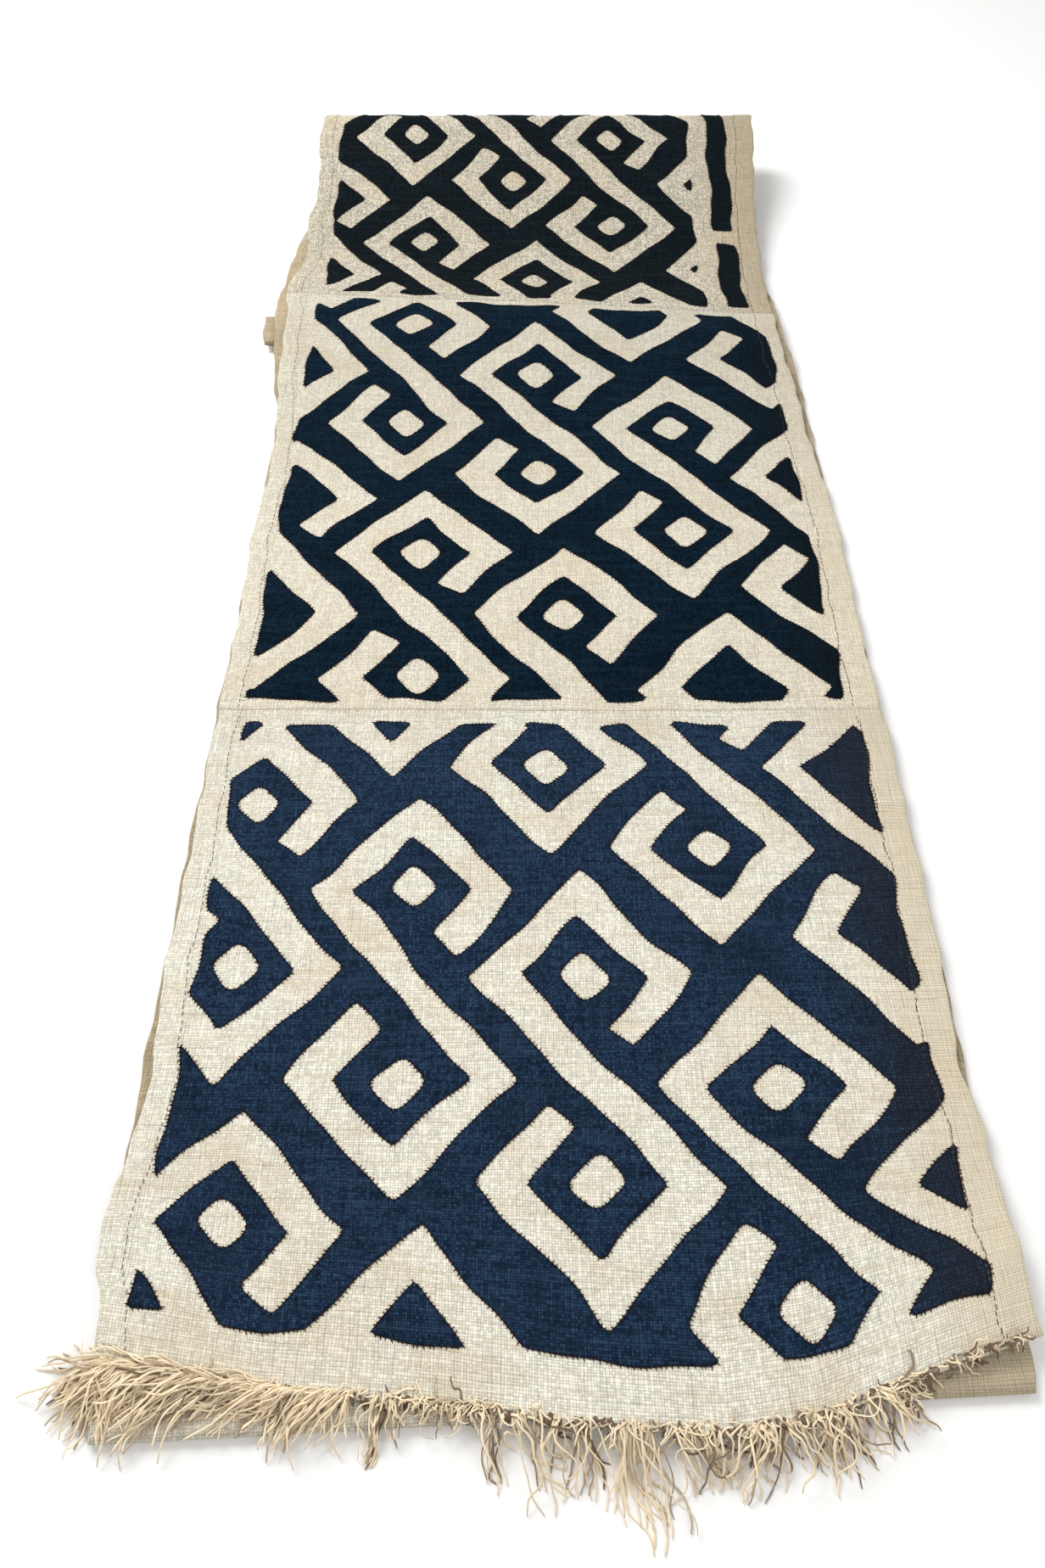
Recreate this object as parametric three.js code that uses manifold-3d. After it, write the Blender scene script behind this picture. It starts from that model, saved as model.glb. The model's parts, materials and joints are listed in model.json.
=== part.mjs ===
// A long raffia wrapper cloth: seven woven panels sewn end to end, folded back and forth in three layers.
// Millimetres. +Y runs along the cloth away from its fringed end, +X to the right, +Z up, the floor at Z 0.
import * as THREE from "three";
import { mergeVertices } from "three/addons/utils/BufferGeometryUtils.js";
import Module from "manifold-3d";

const wasm = await Module();
wasm.setup();

// The weave, its hems and the seams between the panels.
const WEAVE = 1.6;
const HEM_RISE = 0.6;
const HEM_LEFT = 20;
const HEM_RIGHT = 27;
const HEM_STEP = 4;
const SEAM_GAP = 0.3;
const LONGEST_STEP = 42;
const SHORTEST_STEP = 3;
const PROBE = 1.5;
const LENGTH_STEPS = 4000;
const MERGE_WITHIN = 1e-4;
const MOST_TURN = THREE.MathUtils.degToRad(16);

// The cloth's own middle line, from its fringed end to its rolled end. Each row is one section of the
// folded cloth: y and z of the middle of the weave there, and x of its left and right edges.
const SECTION_COLUMNS = ["y", "z", "left", "right"];
const TOP_LAYER = [
  [0, 9.8, -304, 314],
  [45, 9.6, -308, 312],
  [80, 9.2, -317, 311],
  [140, 8.6, -314, 311],
  [185, 8.4, -309, 312],
  [245, 8.4, -305, 304],
  [335, 8.4, -312, 311],
  [440, 8.6, -310, 311],
  [540, 8.4, -313, 313],
  [600, 8.6, -311, 311],
  [770, 8.6, -312, 312],
  [850, 8.6, -316, 315],
  [940, 8.8, -310, 309],
  [1020, 9.8, -313, 305],
  [1090, 13, -320, 303],
  [1160, 18, -324, 298],
  [1225, 21.5, -327, 295],
  [1290, 18.5, -334, 294],
  [1345, 13, -327, 296],
  [1400, 15.5, -319, 296],
  [1460, 27, -322, 297],
  [1520, 43, -314, 300],
  [1580, 60, -315, 303],
  [1630, 73, -317, 306],
];
const FAR_FOLD = [
  [1662, 79, -314, 308],
  [1684, 74, -313, 309],
  [1693, 58, -314, 310],
  [1687, 40, -318, 309],
  [1666, 22, -323, 307],
  [1625, 9, -327, 304],
];
const FAR_TIP_ROW = 2;
const MIDDLE_LAYER = [
  [1570, 2, -327, 302],
  [1500, 0.8, -333, 301],
  [1400, 0.8, -345, 300],
  [1325, 3.2, -348, 301],
  [1285, 12.5, -346, 302],
  [1235, 15.4, -342, 303],
  [1180, 14.2, -336, 306],
  [1120, 7, -328, 311],
  [1050, 4.6, -318, 313],
  [900, 4.4, -313, 312],
  [500, 4.4, -315, 312],
  [120, 4.4, -312, 309],
];
const FRONT_FOLD = [
  [45, 4.8, -305, 308],
  [18, 5.8, -301, 306],
  [4, 3.6, -300, 305],
  [16, 1.2, -300, 306],
  [50, 0.8, -302, 307],
];
const FRONT_TIP_ROW = 2;
const BOTTOM_LAYER = [
  [150, 0.8, -306, 309],
  [700, 0.8, -314, 307],
  [1180, 0.8, -318, 302],
];
const ROLLED_END = [
  [1262, 0.8, -326, 296],
  [1279, 3.2, -333, 290],
  [1262, 5.6, -339, 284],
  [1210, 5.8, -346, 277],
  [1195, 8.2, -350, 273],
  [1210, 10.6, -354, 269],
  [1258, 10.2, -358, 264],
];
const SECTION = [TOP_LAYER, FAR_FOLD, MIDDLE_LAYER, FRONT_FOLD, BOTTOM_LAYER, ROLLED_END]
  .flat()
  .map((row) => Object.fromEntries(SECTION_COLUMNS.map((name, i) => [name, row[i]])));

// The bowed line of the woven front edge: how far behind the section's start it lies at each x.
const FRONT_EDGE = [
  { x: -304, behind: 38 },
  { x: -197, behind: 23 },
  { x: -99, behind: 16 },
  { x: 9, behind: 4 },
  { x: 103, behind: -2 },
  { x: 160, behind: 6 },
  { x: 217, behind: 25 },
  { x: 253, behind: 37 },
  { x: 314, behind: 55 },
];
const FRONT_REACH = 230;

// The second seam and the hump over the rolled end run slightly askew, and so does the front fold.
const HUMP_SKEW = -0.083;
const HUMP_AT = 1272;
const HUMP_REACH = 260;
const FOLD_SKEW = 0.048;
const FOLD_REACH = 420;

// The low, uneven waves of the top layer, which end where it starts to rise to the far fold.
const WAVES = [
  { height: 1.5, across: 71, along: 163, start: 0 },
  { height: 1.1, across: 118, along: -67, start: 1.3 },
];
const WAVES_END = 1350;
const WAVES_FADE = 300;

// The right front corner stands a little off the layers below.
const CORNER_LIFT = 8;
const CORNER_X = 314;
const CORNER_Y = 50;
const CORNER_REACH = 120;

// The panels as they are sewn end to end: each one's length along the cloth, and its facets across.
const PANELS = [
  { name: "panel_1_fringed", length: 593, across: 11 },
  { name: "panel_2", length: 679, across: 8 },
  { name: "panel_3_far_fold", length: 690, across: 6 },
  { name: "panel_4", length: 705, across: 4 },
  { name: "panel_5", length: 655, across: 4 },
  { name: "panel_6_front_fold", length: 640, across: 4 },
  { name: "panel_7_rolled_end", length: Infinity, across: 4 },
];

// The fringe: unwoven warp ends in loose locks. Each row says how the locks lean and how long they are.
const FRINGE_STRIP = 8;
const STRIP_MIDDLE = FRINGE_STRIP / 2;
const LOCKS = 110;
const LOCK_WIDTH = 2;
const LOCK_HEIGHT = 1.6;
const LOCK_LEVEL = 8;
const LOCK_FALL = 16;
const LOCK_SAG = 0.6;
const FOLD_CLEAR = 3;
const SIDEWAYS_ENOUGH = 0.3;
const SIDE_CLEAR = 12;
const LOCK_SPREAD = 0.008;
const LOCK_ROOT = 0.6;
const LOCK_TIP = 0.45;
const LOCK_INSET = 3;
const LENGTH_SPREAD = 0.22;
const UNEVEN = [
  { rate: 2.4, start: 0 },
  { rate: 5.1, start: 1 },
];
const FRINGE = [
  { x: -300, sideways: -0.82, length: 52 },
  { x: -250, sideways: -0.78, length: 62 },
  { x: -180, sideways: -0.62, length: 60 },
  { x: -90, sideways: -0.35, length: 44 },
  { x: 0, sideways: -0.12, length: 50 },
  { x: 90, sideways: 0.06, length: 66 },
  { x: 180, sideways: 0.08, length: 54 },
  { x: 225, sideways: 0.1, length: 26 },
  { x: 306, sideways: 0.1, length: 15 },
];

// Where the finished part's origin lies in the frame of the tables above.
const ORIGIN = new THREE.Vector3(-19.75, 810.6, 0);

const RAFFIA = new THREE.MeshStandardMaterial({ color: "#e1d4b2", roughness: 0.9, metalness: 0 });
const FRAYED = new THREE.MeshStandardMaterial({ color: "#cdb98a", roughness: 0.85, metalness: 0 });

const line = new THREE.CatmullRomCurve3(SECTION.map((row) => new THREE.Vector3(row.y, row.z, 0)));
const edges = new THREE.CatmullRomCurve3(SECTION.map((row) => new THREE.Vector3(row.left, row.right, 0)));
line.arcLengthDivisions = LENGTH_STEPS;
const CLOTH_LENGTH = line.getLength();
const FAR_TIP = lengthAt(TOP_LAYER.length + FAR_TIP_ROW);

// The cloth's length from its fringed end to a row of the section table.
function lengthAt(row) {
  const lengths = line.getLengths();
  return lengths[Math.round((row / (SECTION.length - 1)) * (lengths.length - 1))];
}

// A value between the rows of a short table, by its column at x.
function between(table, x, column) {
  const next = table.findIndex((row) => row.x >= x);
  if (next === 0) return table[0][column];
  if (next < 0) return table.at(-1)[column];
  const [a, b] = [table[next - 1], table[next]];
  return THREE.MathUtils.mapLinear(x, a.x, b.x, a[column], b[column]);
}

// One near the middle, zero from reach onwards, smooth between.
function fade(distance, reach) {
  return 1 - THREE.MathUtils.smoothstep(Math.abs(distance), 0, reach);
}

// How far the top layer stands up from its section at a place: its waves, and its raised corner.
function raised(x, y) {
  const wave = (row) => (row.height / 2) * (1 + Math.sin(x / row.across + y / row.along + row.start));
  const waves = WAVES.reduce((sum, row) => sum + wave(row), 0);
  const corner = CORNER_LIFT * fade(Math.hypot(x - CORNER_X, y - CORNER_Y), CORNER_REACH);
  return waves * fade(Math.max(0, y - WAVES_END), WAVES_FADE) + corner;
}

// How far the cloth's own straight rows lie shifted along Y at x, a length s from the fringed end.
function shift(s, x, y) {
  if (s > FAR_TIP) return FOLD_SKEW * x * fade(y, FOLD_REACH);
  const bow = between(FRONT_EDGE, x, "behind") * fade(s, FRONT_REACH);
  return bow + HUMP_SKEW * x * fade(s - HUMP_AT, HUMP_REACH);
}

// The section at a length s: the middle of the weave, the direction of its upper side, and its edges.
function sectionAt(s) {
  const t = line.getUtoTmapping(0, THREE.MathUtils.clamp(s, 0, CLOTH_LENGTH));
  const middle = line.getPoint(t);
  const along = line.getTangent(t);
  const { x: left, y: right } = edges.getPoint(t);
  return { y: middle.x, z: Math.max(middle.y, WEAVE / 2), up: { y: -along.y, z: along.x }, left, right };
}

// A point of the cloth: s along it, its x, and how far above the middle of the weave.
function clothPoint(s, x, above) {
  const at = sectionAt(s);
  const lift = s > FAR_TIP ? 0 : raised(x, at.y);
  const y = at.y + shift(s, x, at.y) + at.up.y * above;
  return new THREE.Vector3(x, y, Math.max(0, at.z + lift + at.up.z * above));
}

// Lengths along the cloth between two ends, closer where it bends.
function stations(from, to) {
  const found = [from];
  let last = from;
  for (let s = from + SHORTEST_STEP; s < to - SHORTEST_STEP; s += PROBE) {
    const a = sectionAt(last).up;
    const b = sectionAt(s).up;
    const turn = Math.acos(THREE.MathUtils.clamp(a.y * b.y + a.z * b.z, -1, 1));
    if (turn > MOST_TURN || s - last > LONGEST_STEP) {
      found.push(s);
      last = s;
    }
  }
  return [...found, to];
}

// The columns across a section: both hems stand a little thicker than the cloth between them.
function columns({ left, right }, across) {
  const from = left + HEM_LEFT + HEM_STEP;
  const to = right - HEM_RIGHT - HEM_STEP;
  const inner = Array.from({ length: across + 1 }, (_, i) => ({
    x: THREE.MathUtils.lerp(from, to, i / across),
    rise: 0,
  }));
  return [
    { x: left, rise: HEM_RISE },
    { x: left + HEM_LEFT, rise: HEM_RISE },
    ...inner,
    { x: right - HEM_RIGHT, rise: HEM_RISE },
    { x: right, rise: HEM_RISE },
  ];
}

// A closed solid from rings of points, each ring in the same order, with flat ends.
function solidFromRings(rings) {
  const sides = rings[0].length;
  const faces = [];
  for (let i = 0; i + 1 < rings.length; i++) {
    for (let j = 0; j < sides; j++) {
      const [a, b] = [i * sides + j, i * sides + ((j + 1) % sides)];
      faces.push(a, b, a + sides, b, b + sides, a + sides);
    }
  }
  return { points: rings.flat(), faces, sides };
}

// A BufferGeometry of points and the indices of its faces.
function geometryOf(points, faces) {
  const positions = new Float32Array(points.flatMap((p) => [p.x, p.y, p.z]));
  return new THREE.BufferGeometry()
    .setAttribute("position", new THREE.BufferAttribute(positions, 3))
    .setIndex(faces);
}

// A stretch of the cloth as one closed sheet: a strip of quads above, one below, and caps at both ends.
function sheet(from, to, across) {
  const rows = stations(from, to).map((s) => {
    const places = columns(sectionAt(s), across);
    const upper = places.map(({ x, rise }) => clothPoint(s, x, WEAVE / 2 + rise));
    const lower = places.map(({ x }) => clothPoint(s, x, -WEAVE / 2));
    return [...upper, ...lower.reverse()];
  });
  const { points, faces, sides } = solidFromRings(rows);
  const last = (rows.length - 1) * sides;
  for (let j = 0; j + 1 < sides / 2; j++) {
    const [a, b, c, d] = [j, j + 1, sides - 2 - j, sides - 1 - j];
    faces.push(a, d, b, b, d, c);
    faces.push(last + a, last + b, last + d, last + b, last + c, last + d);
  }
  return geometryOf(points, faces);
}

// A geometry as a manifold-3d solid.
function solidOf(geometry) {
  const merged = mergeVertices(geometry, MERGE_WITHIN);
  return new wasm.Manifold(
    new wasm.Mesh({
      numProp: 3,
      vertProperties: merged.attributes.position.array,
      triVerts: new Uint32Array(merged.index.array),
    }),
  );
}

// The point inside the fringe's backing strip where a lock starts, on the facets between its columns.
function lockRoot(x) {
  const places = columns(sectionAt(STRIP_MIDDLE), PANELS[0].across);
  const next = places.findIndex((place) => place.x > x);
  const [a, b] = [places[next - 1].x, places[next].x];
  const ends = [clothPoint(STRIP_MIDDLE, a, 0), clothPoint(STRIP_MIDDLE, b, 0)];
  return ends[0].lerp(ends[1], (x - a) / (b - a));
}

// The middle line of one lock: level over the layers, down past their edge, then level on the floor.
function lockPath(index) {
  const share = (index + 0.5) / LOCKS;
  const x = THREE.MathUtils.lerp(SECTION[0].left + LOCK_INSET, SECTION[0].right - LOCK_INSET, share);
  const waves = UNEVEN.map(({ rate, start }) => Math.sin(index * rate + start));
  const uneven = (waves[0] + waves[1]) / 2;
  const sideways = between(FRINGE, x, "sideways") + LOCK_SPREAD * uneven;
  const length = between(FRINGE, x, "length") * (1 + LENGTH_SPREAD * uneven);
  const forward = Math.sqrt(1 - sideways * sideways);
  const root = lockRoot(x);
  const foldTip = FRONT_FOLD[FRONT_TIP_ROW][0] + FOLD_SKEW * x;
  const pastFold = Math.max(LOCK_LEVEL, (root.y - foldTip + FOLD_CLEAR) / forward);
  const pastSide = sideways < -SIDEWAYS_ENOUGH ? (x - SECTION[0].left + SIDE_CLEAR) / -sideways : Infinity;
  const brink = Math.min(pastFold, pastSide);
  const landed = brink + LOCK_FALL;
  const at = (d, z) => new THREE.Vector3(root.x + sideways * d, root.y - forward * d, z);
  const level = root.z - LOCK_SAG;
  const floor = LOCK_HEIGHT / 2;
  if (landed < length) return [root, at(brink, level), at(landed, floor), at(length, floor)];
  if (length < brink) return [root, at(length / 3, level), at((length * 2) / 3, level), at(length, level)];
  const end = THREE.MathUtils.mapLinear(length, brink, landed, level, floor);
  return [root, at(brink, level), at((brink + length) / 2, (level + end) / 2), at(length, end)];
}

// One lock of the fringe: three sides, flat underneath, narrower towards its tip.
function lock(index) {
  const path = lockPath(index);
  const rings = path.map((p, i) => {
    const along = path[Math.min(i + 1, path.length - 1)].clone().sub(path[Math.max(i - 1, 0)]);
    const aside = new THREE.Vector3(along.y, -along.x, 0).setLength(LOCK_WIDTH / 2);
    const size = [LOCK_ROOT, 1, 1, LOCK_TIP][i];
    const under = p.z - (LOCK_HEIGHT / 2) * (i === 0 ? LOCK_ROOT : 1);
    return [
      new THREE.Vector3(p.x + aside.x * size, p.y + aside.y * size, under),
      new THREE.Vector3(p.x - aside.x * size, p.y - aside.y * size, under),
      new THREE.Vector3(p.x, p.y, under + LOCK_HEIGHT * size),
    ];
  });
  const { points, faces } = solidFromRings(rings);
  const last = (rings.length - 1) * 3;
  faces.push(0, 2, 1, last, last + 1, last + 2);
  return geometryOf(points, faces);
}

// The fringe with its roots fused into the last strip of the weave.
function fringe() {
  let joined = solidOf(sheet(0, FRINGE_STRIP - SEAM_GAP, PANELS[0].across));
  for (let i = 0; i < LOCKS; i++) joined = joined.add(solidOf(lock(i)));
  const mesh = joined.getMesh();
  return new THREE.BufferGeometry()
    .setAttribute("position", new THREE.BufferAttribute(mesh.vertProperties, 3))
    .setIndex(new THREE.BufferAttribute(mesh.triVerts, 1));
}

const cloth = new THREE.Group();
cloth.name = "raffia_cloth";
cloth.position.copy(ORIGIN).negate();

let sewn = FRINGE_STRIP;
let begin = 0;
for (const { name, length, across } of PANELS) {
  const end = Math.min(begin + length, CLOTH_LENGTH);
  const panel = new THREE.Mesh(sheet(sewn, end - SEAM_GAP / 2, across), RAFFIA);
  panel.name = name;
  cloth.add(panel);
  sewn = end + SEAM_GAP / 2;
  begin = end;
}

const frayed = new THREE.Mesh(fringe(), FRAYED);
frayed.name = "fringe";
cloth.add(frayed);

export default cloth;
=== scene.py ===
"""A folded raffia wrapper cloth: woven panels, sewn-on dark patches, hand stitching and a frayed end.

Tables are in millimetres in the cloth's own terms: x across it, s along it from the frayed end.
"""
import json
import math

import bpy
import numpy as np
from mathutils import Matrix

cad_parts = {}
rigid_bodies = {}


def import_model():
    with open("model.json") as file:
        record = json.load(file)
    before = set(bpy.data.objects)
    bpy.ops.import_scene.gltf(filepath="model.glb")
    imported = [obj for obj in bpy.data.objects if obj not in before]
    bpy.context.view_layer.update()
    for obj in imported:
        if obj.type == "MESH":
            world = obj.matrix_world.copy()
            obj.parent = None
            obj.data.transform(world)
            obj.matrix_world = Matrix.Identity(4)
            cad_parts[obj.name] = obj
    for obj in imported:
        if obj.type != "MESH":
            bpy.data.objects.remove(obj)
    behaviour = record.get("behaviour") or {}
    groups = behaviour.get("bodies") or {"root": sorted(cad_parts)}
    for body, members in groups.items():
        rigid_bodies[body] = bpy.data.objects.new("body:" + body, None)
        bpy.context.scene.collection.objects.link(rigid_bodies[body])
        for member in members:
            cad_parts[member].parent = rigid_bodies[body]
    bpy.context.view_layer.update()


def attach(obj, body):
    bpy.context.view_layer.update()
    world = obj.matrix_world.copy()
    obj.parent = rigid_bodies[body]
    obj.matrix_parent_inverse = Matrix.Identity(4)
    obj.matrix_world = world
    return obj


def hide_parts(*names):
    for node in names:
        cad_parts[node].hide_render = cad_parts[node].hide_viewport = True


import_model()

bl_info = {
    "name": "Raffia wrapper cloth",
    "version": (1, 0, 0),
    "blender": (4, 5, 0),
    "location": "View3D > Sidebar > Raffia cloth",
    "description": "Weaves, patches, stitches and frays a folded raffia cloth round its solids",
    "category": "Add Mesh",
}

MM = 0.001

# The folded cloth's section line: y and z of the middle of the weave, and x of its left and right edges.
TOP_LAYER = [
    (0, 9.8, -304, 314), (45, 9.6, -308, 312), (80, 9.2, -317, 311), (140, 8.6, -314, 311),
    (185, 8.4, -309, 312), (245, 8.4, -305, 304), (335, 8.4, -312, 311), (440, 8.6, -310, 311),
    (540, 8.4, -313, 313), (600, 8.6, -311, 311), (770, 8.6, -312, 312), (850, 8.6, -316, 315),
    (940, 8.8, -310, 309), (1020, 9.8, -313, 305), (1090, 13, -320, 303), (1160, 18, -324, 298),
    (1225, 21.5, -327, 295), (1290, 18.5, -334, 294), (1345, 13, -327, 296), (1400, 15.5, -319, 296),
    (1460, 27, -322, 297), (1520, 43, -314, 300), (1580, 60, -315, 303), (1630, 73, -317, 306),
]
FAR_FOLD = [
    (1662, 79, -314, 308), (1684, 74, -313, 309), (1693, 58, -314, 310), (1687, 40, -318, 309),
    (1666, 22, -323, 307), (1625, 9, -327, 304),
]
MIDDLE_LAYER = [
    (1570, 2, -327, 302), (1500, 0.8, -333, 301), (1400, 0.8, -345, 300), (1325, 3.2, -348, 301),
    (1285, 12.5, -346, 302), (1235, 15.4, -342, 303), (1180, 14.2, -336, 306), (1120, 7, -328, 311),
    (1050, 4.6, -318, 313), (900, 4.4, -313, 312), (500, 4.4, -315, 312), (120, 4.4, -312, 309),
]
FRONT_FOLD = [
    (45, 4.8, -305, 308), (18, 5.8, -301, 306), (4, 3.6, -300, 305), (16, 1.2, -300, 306),
    (50, 0.8, -302, 307),
]
BOTTOM_LAYER = [(150, 0.8, -306, 309), (700, 0.8, -314, 307), (1180, 0.8, -318, 302)]
ROLLED_END = [
    (1262, 0.8, -326, 296), (1279, 3.2, -333, 290), (1262, 5.6, -339, 284), (1210, 5.8, -346, 277),
    (1195, 8.2, -350, 273), (1210, 10.6, -354, 269), (1258, 10.2, -358, 264),
]
SECTION = np.array(
    TOP_LAYER + FAR_FOLD + MIDDLE_LAYER + FRONT_FOLD + BOTTOM_LAYER + ROLLED_END, float
)
# The bowed front edge: x, and how far behind the section's start the edge lies there.
FRONT_EDGE = np.array([
    (-304, 38), (-197, 23), (-99, 16), (9, 4), (103, -2), (160, 6), (217, 25), (253, 37), (314, 55),
], float)
FRONT_REACH = 230
HUMP_SKEW, HUMP_AT, HUMP_REACH = -0.083, 1272, 260
FOLD_SKEW, FOLD_REACH = 0.048, 420
# The low waves of the top layer: height, length across, length along and start.
WAVES = [(1.5, 71, 163, 0), (1.1, 118, -67, 1.3)]
WAVES_END, WAVES_FADE = 1350, 300
CORNER_LIFT, CORNER_X, CORNER_Y, CORNER_REACH = 8, 314, 50, 120
# Where the row's origin lies in the frame of the tables.
ORIGIN_X, ORIGIN_Y = -19.75, 810.6

WEAVE = 1.6
HALF = WEAVE / 2
CURVE_STEPS = 80

# Panels in the order they are sewn: node, and where it starts and ends along the cloth.
PANELS = [
    ("panel_1_fringed", 0, 593),
    ("panel_2", 593, 1272),
    ("panel_3_far_fold", 1272, 1962),
    ("panel_4", 1962, 2667),
    ("panel_5", 2667, 3322),
    ("panel_6_front_fold", 3322, 3962),
    ("panel_7_rolled_end", 3962, None),
]
FACE_PANELS = 3
CLOTH_WIDTH = 0.622

# The interlaced pattern is one light band, wound round two eyes and repeated at two fixed steps. Sizes are
# in mm: the steps, how far nearer the second eye lies, and the half width and half depth of the loops.
STEP_ASIDE = np.array([142.0, -86.0])
STEP_NEARER = np.array([28.0, -376.0])
EYE_APART = np.array([0.0, -166.0])
LOOP_WIDE, LOOP_DEEP = 69, 75
# How many steps the repeat is tried to each side, how unevenly a band is placed, and how far inside the
# field an eye must lie.
REPEATS = 6
PLACED_WITHIN = 2.5
EYE_MARGIN = 24


def box(left, right, near, far):
    """A plain four-cornered piece."""
    return [(left, near), (left, far), (right, far), (right, near)]


def repeated_bands(start, scale, eye, field, seed):
    """The bands of one panel, each as its two eyes' places, its loops' reach and its eyes' sizes."""
    random = np.random.default_rng(seed)
    corners = np.array(field, float)
    low, high = corners.min(0), corners.max(0)
    reach = np.array([LOOP_WIDE, LOOP_DEEP]) * scale
    bands = []
    for row in range(-REPEATS, REPEATS + 1):
        for column in range(-REPEATS, REPEATS + 1):
            far = np.array(start) + scale * (column * STEP_ASIDE + row * STEP_NEARER)
            far = far + random.normal(0, PLACED_WITHIN, 2)
            near = far + scale * EYE_APART + random.normal(0, PLACED_WITHIN, 2)
            touches = [((e + reach > low) & (e - reach < high)).all() for e in (far, near)]
            if not any(touches):
                continue
            eyes = [
                eye if ((e - EYE_MARGIN > low) & (e + EYE_MARGIN < high)).all() else 0
                for e in (far, near)
            ]
            bands.append((far, near, reach, eyes))
    return bands


FIELD_1 = box(-286, 286, 38, 577)
FIELD_2 = box(-288, 280, 606, 1262)
FIELD_3 = box(-286, 210, 1284, 1790)
SIDE_BARS = [box(238, 264, 1288, 1425), box(238, 264, 1450, 1790)]
# Each face panel's bands, field, dark bars and half the width of a band.
PATTERNS = [
    (repeated_bands((-120, 400), 1.0, 1.0, FIELD_1, 41), FIELD_1, [], 14.8),
    (repeated_bands((-130, 810), 1.07, 1.15, FIELD_2, 42), FIELD_2, [], 16.3),
    (repeated_bands((-40, 1710), 1.0, 1.0, FIELD_3, 43), FIELD_3, SIDE_BARS, 14.5),
]
BAND_ROUND = 1.5
EYE_WIDE, EYE_DEEP, EYE_ROUND = 11, 12, 8
MITRE_LIMIT = 2.2
LOOP_START = (0.42, -0.68)

# The fringe's tufts: where each grows and how far it spreads along the edge, the angle that it leans to the
# right and how its strands fan out, their length and number, and how much their tips gather.
TUFTS = np.array([
    (-297, 10, -36, 34, 46, 66, 0.0), (-284, 18, -54, 27, 50, 76, 0.0), (-262, 24, -70, 18, 52, 72, 0.0),
    (-236, 28, -76, 15, 56, 76, 0.0), (-210, 28, -78, 14, 54, 70, 0.0), (-186, 20, -74, 17, 46, 48, 0.0),
    (-170, 26, -50, 20, 36, 52, 0.0), (-146, 22, -44, 24, 35, 44, 0.0),
    (-150, 8, -52, 6, 50, 13, 0.6), (-117, 8, -8, 7, 48, 14, 0.7),
    (-108, 6, 8, 10, 30, 6, 0.4), (-80, 58, -25, 60, 16, 74, 0.0), (-46, 10, 6, 12, 46, 11, 0.5),
    (-24, 22, 22, 24, 52, 15, 0.1), (-4, 8, 6, 8, 60, 8, 0.5), (12, 12, 14, 14, 56, 12, 0.3),
    (36, 8, 4, 9, 58, 8, 0.5), (44, 9, 15, 6, 88, 13, 0.6), (52, 6, 5, 6, 80, 6, 0.4),
    (76, 20, 22, 36, 48, 18, 0.0), (96, 9, 8, 14, 52, 9, 0.4), (122, 18, -4, 30, 36, 30, 0.0),
    (124, 5, -14, 6, 56, 5, 0.6), (142, 12, 8, 20, 48, 16, 0.2), (168, 26, 20, 22, 44, 42, 0.1),
    (196, 10, 32, 10, 50, 11, 0.4), (206, 12, 68, 14, 38, 26, 0.2), (228, 24, 62, 30, 18, 24, 0.0),
    (262, 34, 66, 30, 16, 28, 0.0), (290, 18, 66, 34, 14, 14, 0.0),
], float)
MATTED_TO = -130
MAT_TURN = -106
STRAY_TURNED_BACK, STRAY_SHORT = 1.5, 11.0
TURNED_UNDER_FROM = 208

# Soft creases on the face: x and s of both ends, width and height.
CREASES = [
    (-60, 330, -52, 580, 7, 0.7),
    (-196, 560, -150, 300, 9, 0.5),
    (40, 90, 60, 330, 8, 0.5),
    (205, 250, 190, 560, 9, 0.6),
    (-250, 700, -110, 735, 8, 0.7),
    (60, 1010, 70, 1240, 9, 0.7),
    (-90, 900, -80, 1160, 9, 0.6),
    (-220, 1180, 60, 1225, 10, 0.8),
    (120, 1150, 260, 1195, 9, 0.8),
    (-180, 1320, 120, 1300, 11, 0.9),
    (10, 1420, 30, 1640, 10, 0.6),
    (-312, 1103, -225, 1098, 3.5, 1.0),
    (-312, 986, -200, 991, 3.5, 1.1),
    (-93, 203, -97, 280, 3, 0.9),
    (250, 420, 312, 428, 3.5, 0.9),
    (255, 962, 309, 955, 3.5, 0.9),
]


class ClothSizes(bpy.types.PropertyGroup):
    """Sizes of the weave, the hems, the patches and the stitches."""

    grid: bpy.props.FloatProperty(
        name="Face grid", description="Distance between the mesh lines of the face panels",
        default=0.0042, min=0.002, unit="LENGTH")
    hidden_grid: bpy.props.FloatProperty(
        name="Hidden grid", description="Distance between the mesh lines of the layers below",
        default=0.010, min=0.004, unit="LENGTH")
    hem_left: bpy.props.FloatProperty(
        name="Left hem", description="Width of the folded hem on the left",
        default=0.020, unit="LENGTH")
    hem_right: bpy.props.FloatProperty(
        name="Right hem", description="Width of the folded hem on the right",
        default=0.027, unit="LENGTH")
    hem_rise: bpy.props.FloatProperty(
        name="Hem thickness", description="How much the folded hem stands above the cloth",
        default=0.0006, unit="LENGTH")
    patch_rise: bpy.props.FloatProperty(
        name="Patch thickness", description="How far a dark patch stands above the weave",
        default=0.00045, unit="LENGTH")
    thread_pitch: bpy.props.FloatProperty(
        name="Thread pitch", description="Distance between neighbouring raffia threads",
        default=0.0020, unit="LENGTH")
    stitch_pitch: bpy.props.FloatProperty(
        name="Overcast pitch", description="Distance between the overcast stitches round a patch",
        default=0.0036, unit="LENGTH")
    strays: bpy.props.IntProperty(
        name="Stray strands", description="How many short warp ends curl about along the frayed edge",
        default=520, min=0)


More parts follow.
